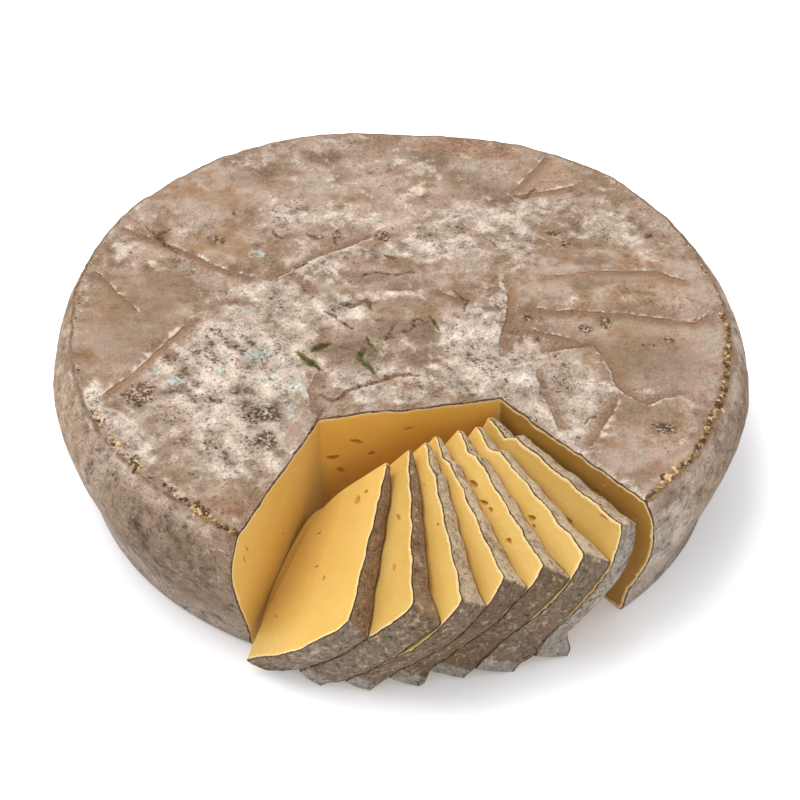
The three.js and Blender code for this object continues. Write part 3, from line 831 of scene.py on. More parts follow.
def slice_outline(cut, number):
    """The face's outline with its heel, rind edge, inner end and lower edge numbered 0 to 3."""
    top = HEEL_SIDE["rim"] - HEEL_SIDE["foot"]
    heel = {**HEEL_SIDE, "foot": HEEL_SIDE["foot"] + cut["spread"]}
    heel_trim, inner_trim = cut["trim"]
    z = np.linspace(heel_trim, HEIGHT, round((HEIGHT - heel_trim) / EDGE_STEP) + 1)
    parts = [np.stack([side_radius(z, heel) - HEEL_SIDE["foot"], z], axis=1)[:-1]]
    from_heel = np.linspace(0, cut["length"], round(cut["length"] / EDGE_STEP) + 1)
    parts.append(np.stack([top - from_heel, HEIGHT + top_edge(cut["length"] - from_heel, number)], axis=1)[:-1])
    upper = np.array([top - cut["length"], HEIGHT + float(top_edge(np.array(0.0), number))])
    lower = np.array([top - cut["length"] + cut["skew"], inner_trim])
    toe = parts[0][0]
    round_by = cut["corner"]
    before = lower + (upper - lower) * round_by / np.hypot(*(upper - lower))
    after = lower + (toe - lower) * round_by / np.hypot(*(toe - lower))
    bend = np.linspace(0, 1, 2 + round(round_by))[:-1, None]
    curve = (1 - bend) ** 2 * before + 2 * bend * (1 - bend) * lower + bend**2 * after
    parts.append(np.concatenate([along_line(upper, before), curve]))
    parts.append(along_line(after, toe))
    section = np.concatenate([np.full(len(part), i) for i, part in enumerate(parts)])
    return np.concatenate(parts), section


def thickness_at(cut, places):
    """How thick a slice is at places on its face."""
    heel, inner = cut["thick"]
    whole = heel + (inner - heel) * (-places[:, 0] / cut["length"])
    return whole * (cut["foot_share"] + (1 - cut["foot_share"]) * places[:, 1] / HEIGHT)


def turning(cut):
    """The matrix that turns a slice lying on its back to how it leans."""
    heading, pitch, tilt = (cut[key] * RAD for key in ("heading", "pitch", "tilt"))
    about_z = [[math.cos(heading), -math.sin(heading), 0], [math.sin(heading), math.cos(heading), 0], [0, 0, 1]]
    about_y = [[math.cos(pitch), 0, math.sin(pitch)], [0, 1, 0], [-math.sin(pitch), 0, math.cos(pitch)]]
    about_x = [[1, 0, 0], [0, math.cos(tilt), -math.sin(tilt)], [0, math.sin(tilt), math.cos(tilt)]]
    return np.array(about_z) @ np.array(about_y) @ np.array(about_x)


def slice_frame(number):
    """A slice's cut, outline with sections, thickness, turn and toe, as it leans."""
    cut = {**SQUARE_CUT, **SLICES[number - 1]}
    outline, section = slice_outline(cut, number)
    turn = turning(cut)
    toe = np.array([*cut["toe"], 0.0])
    depth = thickness_at(cut, outline)
    plain = [np.column_stack([outline, -share * depth]) @ turn.T for share in (0, 1)]
    toe[2] = FLOOR_GAP - min(part[:, 2].min() for part in plain)
    return cut, outline, section, depth, turn, toe


def heel_out(number, heights):
    """How far a slice's heel stands out from the plain profile at each height."""
    return np.interp(heights, HEEL_AT, HEEL_OUT[number - 1])


def far_shift(number, outline, section, depth, turn, back):
    """How the far face's edge moves so that the heel meets the next slice and the foot spreads."""
    shift = np.zeros_like(back)
    heel = section == 0
    if number < len(SLICES):
        cut, _, _, _, next_turn, toe = slice_frame(number + 1)
        local = (back - toe) @ next_turn
        height = np.clip(local[:, 1], 1, HEIGHT)
        side = {**HEEL_SIDE, "foot": HEEL_SIDE["foot"] + cut["spread"]}
        edge = side_radius(height, side) - HEEL_SIDE["foot"] + heel_out(number + 1, height)
        goal = np.column_stack([edge - 0.2, local[:, 1], np.full(len(back), 0.25)]) @ next_turn.T + toe
        share = np.interp(outline[:, 1], MEETING_AT, MEETING[number - 1])
        shift = (goal - back) * share[:, None]
        low = heel & (local[:, 1] < 1)
        if low.any():
            shift[low] = shift[np.where(heel & ~low)[0][0]]
    foot = np.array([*FOOT_OUT[number - 1], 0.0])
    lift = (1 - smooth_step(outline[:, 1], 2, 15))[:, None]
    shift = shift * (1 - lift) + foot * lift
    from_heel = np.clip(outline[heel][:, 0].min() - outline[:, 0], 0, None)
    corner = HEEL_SIDE["rim"] - HEEL_SIDE["foot"]
    along_rind = 1 - smooth_step(corner - outline[:, 0], 0, 13)
    along_foot = 1 - smooth_step(from_heel, 0, 12)
    last, first = shift[np.where(heel)[0][-1]], shift[np.where(heel)[0][0]]
    shift = np.where((section == 1)[:, None], last * along_rind[:, None], shift)
    shift = np.where((section == 3)[:, None], first * along_foot[:, None], shift)
    shift = np.where((section == 2)[:, None], 0, shift)
    inner = np.array([corner - SLICES[number - 1]["length"], HEIGHT])
    thin = 0.62 * depth * (1 - smooth_step(np.hypot(*(outline - inner).T), 1, 12))
    return shift + thin[:, None] * turn[:, 2]


def build_slice(number, settings, rind, paste):
    """One slice as it leans in the gap, as a closed shell."""
    cut, outline, section, depth, turn, toe = slice_frame(number)
    heel_share = np.where(section == 1, smooth_step(outline[:, 0], 0, 5.2), smooth_step(outline[:, 0], -14, -1))
    outline = outline + np.column_stack([heel_share * heel_out(number, outline[:, 1]), np.zeros(len(outline))])
    shift = far_shift(number, outline, section, depth, turn, np.column_stack([outline, -depth]) @ turn.T + toe)
    shell = Shell()

    # The rim strip runs round the outline and across the thickness, rough on the rind's part.
    along = length_along(outline)
    tangent = np.roll(outline, -1, 0) - np.roll(outline, 1, 0)
    outward = np.stack([tangent[:, 1], -tangent[:, 0]], axis=1) / np.hypot(*tangent.T)[:, None]
    crust = (section <= 1) | ((section == 3) & (cut["trim"][0] == 0))
    lower_edge = along[section == 3][0]
    bottom = np.clip((along - lower_edge + cut["corner"]) / (along[-1] - lower_edge + cut["corner"]), 0, 1)
    belly = cut["belly"] * np.sin(math.pi * bottom) ** 0.7
    warmth = np.where(section == 0, HEEL_WARMTH[number - 1], RIND_WARMTH[number - 1])
    foot = (section == 0) * np.maximum(HEEL_PALE[number - 1], 1 - smooth_step(outline[:, 1], 5, 10))
    strip, trace = [], []
    for share in np.linspace(0, 1, STRIP_ROWS):
        arch = math.sin(math.pi * share)
        here = np.stack([along, share * depth, np.full(len(along), 11.0 * number)], axis=1)
        bumps = (0.16 + 0.3 * arch) * rough(here, 6, 91) + 0.2 * rough(here, 2.4, 92)
        ragged = 0.2 * rough(here, 1.7, 93) if share in (0, 1) else 0
        off = np.where(crust, bumps - 0.25 + ragged, 0.08 * rough(here, 5, 94) - 0.1)
        bulge = np.where(crust, 0.5 * arch, 0)
        place = outline + outward * (off + bulge - 0.1 + belly)[:, None]
        points = np.column_stack([place, -share * depth]) @ turn.T + toe + share**1.3 * shift
        if cut["belly"]:  # the first slice's lower edge lies against the gap's left wall
            to_wall = (points[:, :2] - GAP_LEFT) @ LEFT_NORMAL
            lean = np.sin(math.pi * np.clip(bottom * 1.08, 0, 1)) ** 0.5 * min(1.0, 2.4 * share**1.2)
            points[:, :2] -= (lean * np.clip(to_wall - 0.5, 0, None))[:, None] * LEFT_NORMAL
        points[:, 2] = np.maximum(points[:, 2], FLOOR_GAP / 2)
        strip.append(shell.add(
            points, cut_mm=np.where(crust, np.minimum(share, 1 - share) * depth, EDGE_FAR), side=section == 0,
            rim_mm=np.where(section == 0, -along, 0), stain=np.column_stack([warmth, foot, 0 * foot]),
        ))
        trace.append(place)
    strip = np.array(strip)
    ring = np.concatenate([strip, strip[:, :1]], axis=1)
    for i in range(len(outline)):
        material = 0 if crust[i] and crust[(i + 1) % len(outline)] else 1
        shell.grid(ring[:, i : i + 2], material)

    def face(row, step, eyes, front):
        """The cut face on one end of the strip, with its eyes."""
        edge_line = trace[row]
        rings = eye_places(eyes, settings.eyes)
        spots = hexes(outline.min(axis=0), outline.max(axis=0), step)
        spots = np.concatenate([clear_of(spots, rings, EYE_CLEAR), rings])
        closed = np.concatenate([edge_line, edge_line[:1]])
        inside = np.zeros(len(spots), bool)
        for (x1, y1), (x2, y2) in zip(closed[:-1], closed[1:]):
            crosses = (y1 > spots[:, 1]) != (y2 > spots[:, 1])
            inside ^= crosses & (spots[:, 0] < (x2 - x1) * (spots[:, 1] - y1) / (y2 - y1 + 1e-12) + x1)
        nearest = to_path(spots[:, 0], spots[:, 1], closed)[0]
        keep = inside & (nearest > 0.55)
        spots, nearest = spots[keep], nearest[keep]
        to_rind = to_path(spots[:, 0], spots[:, 1], edge_line[section <= 1])[0]
        deep, eye = eye_depths(spots, eyes, settings.eyes)
        slack = smooth_step(nearest, 0, 5) * (0.2 + 0.2 * flat_rough(spots[:, 0], spots[:, 1] + 40 * number, 22, 95))
        across = -(deep + slack) if front else -thickness_at(cut, spots) + (deep + slack)
        points = np.column_stack([spots, across]) @ turn.T + toe
        if not front:  # the far face follows its own edge near the heel
            closest = ((spots[:, None] - edge_line[None]) ** 2).sum(axis=2).argmin(axis=1)
            points += shift[closest] * (1 - smooth_step(nearest, 0, 14))[:, None]
        # side carries the slice's painted shade to its paste.
        numbers = shell.add(points, cut_mm=np.minimum(to_rind, EDGE_FAR), eye=eye, side=PASTE_PAINTED_SHADE[number - 1])
        shell.fill(strip[row], edge_line, numbers, spots, 1)

    face(0, FACE_STEP, SLICE_EYES[number - 1], True)
    face(-1, BACK_STEP, [], False)
    return shell.to_object(f"slice_{number}_cheese", [rind, paste])


# ---- Materials ----


def linear(text):
    """A colour written as sRGB hex, in linear values."""
    parts = [int(text[i : i + 2], 16) / 255 for i in (1, 3, 5)]
    return tuple(c / 12.92 if c <= 0.04045 else ((c + 0.055) / 1.055) ** 2.4 for c in parts) + (1.0,)


def add(tree, kind, inputs=None, **settings):
    """Adds a node with its settings, and links or sets its inputs."""
    node = tree.nodes.new(kind)
    for key, value in settings.items():
        setattr(node, key, value)
    for key, value in (inputs or {}).items():
        if isinstance(value, bpy.types.NodeSocket):
            tree.links.new(value, node.inputs[key])
        else:
            node.inputs[key].default_value = value
    return node


def new_material(name):
    """An empty material and its node tree."""
    material = bpy.data.materials.new(name)
    material.use_nodes = True
    material.node_tree.nodes.clear()
    return material, material.node_tree


def gather(tree, own, grain, lies=None):
    """What a material reads, by name: the piece's own values, and grain with lumps of a size in millimetres.

    A value of the piece may split into three named parts. Grain may follow a lie: a turned or stretched place.
    """
    place = add(tree, "ShaderNodeTexCoord").outputs["Object"]
    have = {}
    for name, parts in own.items():
        value = add(tree, "ShaderNodeAttribute", attribute_name=name)
        if parts:
            split = add(tree, "ShaderNodeSeparateXYZ", {0: value.outputs["Vector"]})
            have.update({part: split.outputs[i] for i, part in enumerate(parts.split())})
        else:
            have[name] = value.outputs["Fac"]
    for name, (kind, turned) in (lies or {}).items():
        have[name] = add(tree, "ShaderNodeMapping", {"Vector": place, **turned}, vector_type=kind).outputs[0]
    for name, (size, detail, roughness, *lie) in grain.items():
        have[name] = add(tree, "ShaderNodeTexNoise", {
            "Vector": have[lie[0]] if lie else place, "Scale": 1000 / size, "Detail": detail, "Roughness": roughness,
        }).outputs[0]
    return have


def weigh(tree, have, terms):
    """A sum of named fields, each times its weight. A weight may be a field's name too."""
    result = None
    for name, weight in terms.items():
        inputs = {0: have[name], 1: have[weight] if isinstance(weight, str) else weight}
        if result is not None:
            inputs[2] = result
        result = add(tree, "ShaderNodeMath", inputs, operation="MULTIPLY_ADD" if 2 in inputs else "MULTIPLY").outputs[0]
    return result


def where(tree, have, terms, low, high, most=1.0):
    """A mask that rises from 0 to most where a weighted sum of fields passes from low to high."""
    inputs = {0: weigh(tree, have, terms), 1: low, 2: high, 4: most}
    return add(tree, "ShaderNodeMapRange", inputs, interpolation_type="SMOOTHSTEP").outputs[0]


def coats(tree, have, colour, layers):
    """Lays colours over each other. Each has its own mask: a field's name, or the sum and limits for where()."""
    for over, mask, *limits in layers:
        mask = where(tree, have, mask, *limits) if limits else have[mask]
        pair = (linear(c) if isinstance(c, str) else c for c in (colour, over))
        under, over = (c if isinstance(c, bpy.types.NodeSocket) else (*c, 1.0)[:4] for c in pair)
        colour = add(tree, "ShaderNodeMix", {0: mask, 6: under, 7: over}, data_type="RGBA").outputs[2]
    return colour


def shade(tree, colour, height, height_mm, shine):
    """Gives the surface its colour, its fine relief and how it takes the light."""
    bump = add(tree, "ShaderNodeBump", {"Height": height, "Distance": height_mm * MM, "Strength": 1.0})
    shader = add(tree, "ShaderNodeBsdfPrincipled", {"Base Color": colour, "Normal": bump.outputs[0], **shine})
    add(tree, "ShaderNodeOutputMaterial", {"Surface": shader.outputs[0]})


def natural_rind(colours):
    # Dry natural rind, pressed in cloth and brushed: matt and crumbly, pale mould on what stands
    # proud, brown in the hollows, bare tan and pink where the cloth lay smooth. Because the pale and the brown
    # follow the relief, they are partly the rind's own colour and partly painted light on the crests and painted
    # shade in the hollows. The mould's powder, about 0.1 mm, is too fine to show and is drawn 0.7 mm coarse.
    material, tree = new_material("Natural rind, cloth pressed")
    have = gather(tree, dict(
        growth="mould specks bloom", stain="rust smooth smudge", marks="olive scar lip",
        fold_mm="", rim_mm="", cut_mm="", crest="", gold="", side="",
    ), dict(
        wide=(38, 2, 0.5), tone=(16, 3, 0.55), patchy=(8, 4, 0.58), relief=(4.2, 4, 0.6), fine=(1.5, 3, 0.65),
        grain=(0.7, 2, 0.7), spots=(1.7, 2, 0.6), wiggle=(5.5, 3, 0.6),
        drag=(11, 5, 0.68, "level"), streak=(4.5, 3, 0.6, "level"), ridge=(6.2, 4, 0.6, "leaning"),
    ), {
        "level": ("POINT", {"Scale": (1, 1, 5.0)}),
        "leaning": ("TEXTURE", {"Rotation": (0, 0, -57 * RAD), "Scale": (3.0, 1, 1)}),
    })
    centred = add(tree, "ShaderNodeMath", {0: have["wiggle"], 1: 0.5}, operation="SUBTRACT").outputs[0]
    have["thread"] = add(tree, "ShaderNodeMath", {0: centred}, operation="ABSOLUTE").outputs[0]
    have["off_rim"] = add(tree, "ShaderNodeMath", {0: have["rim_mm"]}, operation="ABSOLUTE").outputs[0]
    ridged = {0: have["ridge"], 1: have["mould"]}
    have["ridged"] = add(tree, "ShaderNodeMath", ridged, operation="MULTIPLY").outputs[0]
    have["dark"] = where(tree, have, dict(spots=1, specks=0.3, fine=0.7, relief=0.5), 1.38, 1.52, 0.9)
    have["dots"] = where(
        tree, have, dict(spots=1, fine=0.7, relief=0.6, mould=0.15, smooth=-0.06, side=-0.12), 1.42, 1.54, 0.75)
    have["fold"] = where(tree, have, dict(fold_mm=-0.8, relief=1.6, fine=0.7, patchy=2.2), 1.7, 2.7, 0.85)

    # How much mould each place has, low in bare hollows and high where mould stands; as it follows the relief, the pale
    # coats it lays are partly painted light on the crests.
    mould_and_crest_light = dict(crest=1.1, patchy=0.3, ridge=1, relief=0.6, fine=0.6, mould=0.32, smooth=-0.3)
    top = coats(tree, have, colours.tan, [
        ("#aa8462", dict(tone=-1, patchy=-0.6, smooth=0.15), -0.7, -0.48, 0.7),
        (colours.pink, dict(wide=1, tone=0.8), 0.76, 1.02),
        (colours.grey, dict(tone=1, patchy=0.5), 0.72, 0.95, 0.8),
        ("#bfac9b", dict(mould=1, smooth=-0.5, tone=0.6), 0.35, 1.1, 0.75),
        ("#856f5b", dict(smudge=0.9, patchy=0.6), 0.45, 1.05, 0.8),
        ("#a9876c", dict(rust=0.8, tone=0.7), 0.6, 1.2, 0.7),
        # Brown in the relief's hollows: partly the bare rind's colour, partly painted shade.
        (colours.brown, dict(crest=-1, relief=-1, patchy=-0.5, fine=-0.4), -1.22, -0.95, 0.65),
        (colours.mould, mould_and_crest_light, 1.86, 2.26, 0.85),
        (colours.chalk, mould_and_crest_light, 2.34, 2.72, 0.85),
        # These two darken the relief's hollows: painted shade.
        ("#7d6652", dict(relief=-1, fine=-0.9, mould=0.12, smooth=-0.1), -0.7, -0.54, 0.6),
        ("#5f4d3d", dict(ridge=-1, fine=-0.9, relief=-0.5, mould=0.15), -0.96, -0.82, 0.75),
        ("#b4c0b8", dict(bloom=0.8, patchy=1, relief=1.3, fine=0.8), 2.05, 2.5, 0.8),
        ("#80533c", dict(rust=0.8, relief=1.8, patchy=1, fine=1), 2.62, 2.95, 0.8),
    ])
    side = coats(tree, have, "#b1977f", [
        ("#8a7460", dict(rim_mm=1, tone=14), -16, 8, 0.45),
        ("#bea895", dict(wide=1, patchy=0.6), 0.68, 0.95),
        ("#ac9d91", dict(rim_mm=-0.012, tone=1), 0.65, 1.2, 0.8),
        # Smudges, and on the side the painted shade at the front left and on the right.
        ("#7d6750", dict(smudge=0.9, patchy=0.9), 0.5, 1.3, 0.8),
        ("#c0b3a6", dict(bloom=0.9, patchy=0.9), 0.5, 1.3, 0.8),
        ("#826a54", dict(tone=1, relief=0.6, rim_mm=-0.002), 0.9, 1.1, 0.75),
        ("#6d5d4e", dict(drag=1, fine=0.5, relief=0.4), 0.93, 1.12, 0.6),
        ("#c9bbae", dict(drag=-1, fine=-0.5, relief=-0.4), -0.85, -0.68, 0.6),
        ("#74655a", dict(streak=1, fine=0.6), 0.88, 1.08, 0.55),
        ("#cdc1b4", dict(streak=-1, fine=-0.6), -0.7, -0.52, 0.5),
        # Painted light on the relief's crests and painted shade in its hollows.
        ("#cfc2b6", dict(relief=1, fine=0.7, bloom=0.1), 0.95, 1.2, 0.6),
        ("#6a5745", dict(relief=-1, fine=-0.7, smudge=0.1), -0.78, -0.6, 0.7),
    ])
    colour = coats(tree, have, top, [
        (side, "side"),
        # Folds and the rim's line, with painted shade on each fold's lower side and a painted highlight on its higher
        # side.
        ("#8c7056", dict(lip=-1, patchy=1.2, relief=0.5), 1.05, 1.65, 0.8),
        ("#8b6c54", dict(fold_mm=-0.2, patchy=2, relief=0.8), 0.7, 1.5, 0.8),
        ("#94785f", dict(off_rim=-0.25, patchy=2.2), 0.75, 1.5, 0.6),
        ("#dccfc1", dict(lip=1, patchy=1.2, relief=1.4, mould=0.3), 1.7, 2.2, 0.7),
        # Specks, from haze to nearly black.
        ("#86694c", dict(specks=0.9, relief=1.2, patchy=0.8, fine=0.5), 1.55, 2.2, 0.85),
        ("#ddd2c2", dict(spots=-1, specks=0.4, fine=-0.5), -0.34, -0.2, 0.7),
        ("#6c5843", "dots"),
        ("#4c4032", "dark"),
        # Worn scars and strokes of olive mould.
        ("#785a42", dict(scar=0.8, fine=1, relief=1.6), 1.6, 2.05, 0.85),
        ("#43342a", dict(scar=0.8, fine=1, spots=1.5), 2.0, 2.2, 0.9),
        ("#6f6836", dict(olive=1, fine=0.6, relief=0.5), 0.8, 1.35, 0.9),
        ("#3d3a20", dict(olive=1, relief=1, fine=0.7), 1.6, 1.95, 0.95),
        # Thin cracks, then the deepest parts of folds and rim.
        ("#5f4c3a", dict(
            thread=-5, fine=1, patchy=1.2, mould=0.2, specks=0.2, smooth=-0.3, side=-0.3,
        ), 1.36, 1.52, 0.8),
        ("#6f4f34", "fold"),
        ("#6b543b", dict(off_rim=-0.8, relief=2, fine=1, tone=1.5, patchy=1.4), 2.5, 3.15, 0.85),
        # Golden crust on the rim, with painted highlights on its crests and painted shade in its hollows,
        # and the dark line along the cut.
        ("#8f6f49", dict(gold=1, relief=1.3, fine=0.7), 1.35, 1.85, 0.75),
        ("#dcbd86", dict(gold=0.8, relief=1.2, fine=0.8), 1.7, 2.0, 0.85),
        ("#4c3822", dict(gold=0.8, relief=-1.2, fine=-0.8), -0.42, -0.2, 0.9),
        ("#4d3923", dict(cut_mm=-1.2, patchy=2.2, relief=2.4, fine=1.4), 2.05, 2.45, 0.92),
        # Powdery grain over everything.
        ("#eadfd4", dict(grain=1, fine=0.4, smooth=-0.05, side=-0.04), 0.84, 0.98, 0.5),
        ("#66574a", dict(grain=-1, fine=-0.35, smooth=-0.05), -0.52, -0.42, 0.6),
    ])
    # Light and dark at every size, stronger where mould stands than on smooth rind: partly random tone, and
    # partly painted light on the relief's crests and painted shade in its hollows, as it follows the bump's noise.
    strength = weigh(tree, have, dict(mould=1, specks=0.4, side=0.85, smooth=-0.35))
    strength = add(tree, "ShaderNodeMapRange", {0: strength, 1: -0.35, 2: 1.0, 3: 0.6, 4: 1.15}).outputs[0]
    uneven = weigh(tree, have, dict(
        relief=0.9, patchy=1.2, tone=1.1, fine=1.1, grain=0.8, ridged=0.6, mould=-0.3, crest=0.22, drag="side",
        side=-0.5,
    ))
    uneven = add(tree, "ShaderNodeMath", {0: uneven, 1: 2.55}, operation="SUBTRACT").outputs[0]
    uneven = add(tree, "ShaderNodeMath", {0: uneven, 1: strength, 2: 1.0}, operation="MULTIPLY_ADD").outputs[0]
    uneven = add(tree, "ShaderNodeClamp", {0: uneven, 1: 0.45, 2: 1.5}).outputs[0]
    colour = add(tree, "ShaderNodeVectorMath", {0: colour, 3: uneven}, operation="SCALE").outputs[0]
    # Smooth rind has gentler relief.
    gentle = add(tree, "ShaderNodeMapRange", {0: have["smooth"], 3: 1.0, 4: 0.45}).outputs[0]
    rise = weigh(tree, have, dict(relief=4.5, patchy=3, fine=1.6, specks=0.4))
    have["rise"] = add(tree, "ShaderNodeMath", {0: rise, 1: gentle}, operation="MULTIPLY").outputs[0]
    height = weigh(tree, have, dict(rise=1, grain=0.5, dark=-1, dots=-0.7, fold=-0.9))
    shade(tree, colour, height, 1.0, {"Roughness": 0.88, "IOR": 1.45, "Specular IOR Level": 0.2})
    return material


def cut_rind():
    # The same rind on a slice's heel and upper edge, where a knife has passed: greyer, with burred edges.
    material, tree = new_material("Natural rind, on the slices")
    have = gather(tree, dict(cut_mm="", side="", stain="warmth foot"), dict(
        tone=(14, 2, 0.5), patchy=(6.5, 4, 0.6), relief=(2.8, 5, 0.65), fine=(1.2, 3, 0.65), grain=(0.7, 2, 0.7),
    ))
    colour = coats(tree, have, "#e0c7a6", [
        ("#a89683", dict(side=1, tone=0.5), 0.3, 1.2),
        ("#866242", dict(warmth=0.9, patchy=0.9), 0.5, 1.2, 0.85),
        ("#f3ddc0", dict(side=-1, tone=0.8, patchy=0.8, warmth=-0.2), 0.66, 0.95, 0.8),
        ("#937450", dict(tone=1, patchy=0.8, side=0.05), 0.88, 1.12, 0.75),
        # Paler on the relief's crests and darker in its hollows: partly the rind's own colour, partly painted light and
        # painted shade.
        ("#cdb99f", dict(patchy=1, relief=0.8, warmth=-0.12), 0.88, 1.15, 0.85),
        ("#74583b", dict(patchy=-1, relief=-0.8, fine=-0.4), -0.98, -0.76, 0.75),
        ("#d5c8bc", dict(relief=1, fine=0.8, warmth=-0.06), 0.95, 1.22, 0.65),
        ("#d2c8bc", dict(foot=0.8, relief=0.8), 0.75, 1.15, 0.7),
        # Painted shade in the relief's deepest hollows.
        ("#523f2f", dict(relief=-1, fine=-0.9), -0.84, -0.68, 0.8),
        ("#3f3024", dict(cut_mm=-1.5, patchy=1.6, relief=1.6, fine=1, side=-0.2), 1.32, 1.62, 0.92),
        ("#e0d5c9", dict(grain=1, fine=0.4), 0.86, 0.98, 0.45),
    ])
    # Random tone, and painted light on the relief's crests and painted shade in its hollows.
    uneven = weigh(tree, have, dict(relief=1.5, patchy=1.1, fine=1, grain=0.8, side=-0.3))
    uneven = add(tree, "ShaderNodeMapRange", {0: uneven, 1: 1.25, 2: 2.6, 3: 0.42, 4: 1.66}).outputs[0]
    colour = add(tree, "ShaderNodeVectorMath", {0: colour, 3: uneven}, operation="SCALE").outputs[0]
    height = weigh(tree, have, dict(relief=6, fine=2.2, grain=0.5))
    shade(tree, colour, height, 1.0, {"Roughness": 0.86, "IOR": 1.45, "Specular IOR Level": 0.25})
    return material


def cheese_paste(colours):
    # Semi-hard paste, cut by knife: smooth and slightly waxy, with a soft glow, paler under the rind.
    material, tree = new_material("Semi-hard cheese paste, knife cut")
    have = gather(tree, dict(cut_mm="", eye="", side=""), dict(
        wide=(40, 2, 0.5), patchy=(9, 3, 0.55), relief=(2.6, 4, 0.65), fine=(1.0, 3, 0.6),
        knife=(2.4, 3, 0.55, "cutting"),
    ), {"cutting": ("TEXTURE", {"Rotation": (0.3, 0.5, 0.9), "Scale": (5, 1, 1)})})
    colour = coats(tree, have, colours.paste, [
        (colours.paste_deep, dict(wide=1, patchy=0.35), 0.5, 1.0),
        ("#efc77a", dict(knife=1, fine=0.3), 0.75, 1.0, 0.5),
        # Painted shade where a piece's side value is above 0, and painted light where it is below 0.
        ("#9a6d28", dict(side=1, patchy=0.12), 0.06, 1.06, 0.9),
        ("#f2b448", dict(side=-1), 0.0, 1.0),
        (colours.cream, dict(cut_mm=-1, relief=2.6, patchy=1.6), 0.2, 1.3, 0.9),
        ("#4a3522", dict(cut_mm=-1.5, patchy=1.2, relief=1.6, fine=0.7), 1.12, 1.4, 0.95),
        # Painted shade inside the eyes' hollows.
        ("#c18c3c", "eye"),
    ])
    height = weigh(tree, have, dict(knife=0.5, fine=0.15, relief=0.3))
    shade(tree, colour, height, 0.5, {
        "Roughness": 0.48, "IOR": 1.46, "Specular IOR Level": 0.35,
        "Subsurface Weight": 0.12, "Subsurface Radius": (1.0, 0.6, 0.25), "Subsurface Scale": 3 * MM,
    })
    return material


def dry_crumbs(colours):
    # Dry crumbs of rind and paste left by the knife and the brush: matt, golden to brown.
    material, tree = new_material("Dry cheese crumbs")
    have = gather(tree, dict(tint=""), dict(fine=(0.9, 3, 0.6), lumpy=(3, 2, 0.5)))
    colour = coats(tree, have, colours.crumb, [
        ("#5c3f24", dict(tint=0.9, lumpy=0.5), 0.36, 1.0),
        ("#5c452c", dict(fine=1), 0.58, 0.75),
    ])
    shade(tree, colour, have["fine"], 0.4, {"Roughness": 0.75})
    return material


def white_paper_with_painted_shadow(settings):
    # White paper over a light table, matt with no shine. Its glow is dimmed under and round the wheel, a painted
    # contact shadow.
    material, tree = new_material("Matt white paper, painted contact shadow")
    place = add(tree, "ShaderNodeTexCoord").outputs["Object"]
    from_shadow_centre = {0: place, 1: (0.008, 0.004, 0)}
    from_shadow_centre = add(tree, "ShaderNodeVectorMath", from_shadow_centre, operation="DISTANCE").outputs["Value"]
    glow = {0: from_shadow_centre, 1: 0.148, 2: 0.190, 3: 0.42 * settings.glow, 4: settings.glow}
    glow = add(tree, "ShaderNodeMapRange", glow, interpolation_type="SMOOTHSTEP").outputs[0]
    shader = add(tree, "ShaderNodeBsdfPrincipled", {
        "Base Color": (*settings.floor, 1.0), "Roughness": 0.9, "Specular IOR Level": 0.0,
        "Emission Color": (1.0, 1.0, 1.0, 1.0), "Emission Strength": glow,
    })
    add(tree, "ShaderNodeOutputMaterial", {"Surface": shader.outputs[0]})
    return material


# ---- Crumbs along the rim, by Geometry Nodes ----

# Stretches of the rim with crumbs: start and end azimuth, crumbs per 100 mm, size.
RIM_CRUMBS = [
    (-49.6, -38, 130, 1.6), (-38, -20, 120, 1.35), (-20, -4, 120, 1.05), (-4, 14, 100, 0.9), (14, 30, 40, 0.6),
    (30, 60, 20, 0.5), (60, 120, 14, 0.5), (150, 176, 16, 0.5), (176, 200, 30, 0.6), (200, 214, 110, 1.05),
    (214, 224, 140, 1.5), (224, 235, 110, 1.25), (235, 244.2, 170, 1.4),
]


def rim_points():
    """Places along the rim for crumbs, with a size each."""
    random = np.random.default_rng(11)
    places, sizes = [], []
    for start, end, density, size in RIM_CRUMBS:
        count = round((end - start) * RAD * 152 * density / 100)
        azimuth = random.uniform(start, end, 3 * count) * RAD
        heaped = flat_rough(150 * np.cos(azimuth), 150 * np.sin(azimuth), 9, 88, 2)
        heaped = heaped + random.normal(0, 0.25, len(azimuth))
        azimuth = azimuth[np.argsort(-heaped)[:count]]
        relief = side_relief(azimuth, np.full(count, HEIGHT))
        radius = WHEEL_SIDE["rim"] - 1.3 + relief + random.normal(0, 1.0, count)
        x, y = radius * np.cos(azimuth), radius * np.sin(azimuth)
        lift, _ = top_surface(x, y, 1, 1)
        over_edge = np.maximum(0, radius - (WHEEL_SIDE["rim"] - 1.5 + relief))
        places.append(np.stack([x, y, HEIGHT + lift - 0.8 * over_edge], axis=1))
        sizes.append(size * random.uniform(0.3, 1.25, count) ** 1.5)
    return np.concatenate(places), np.concatenate(sizes)


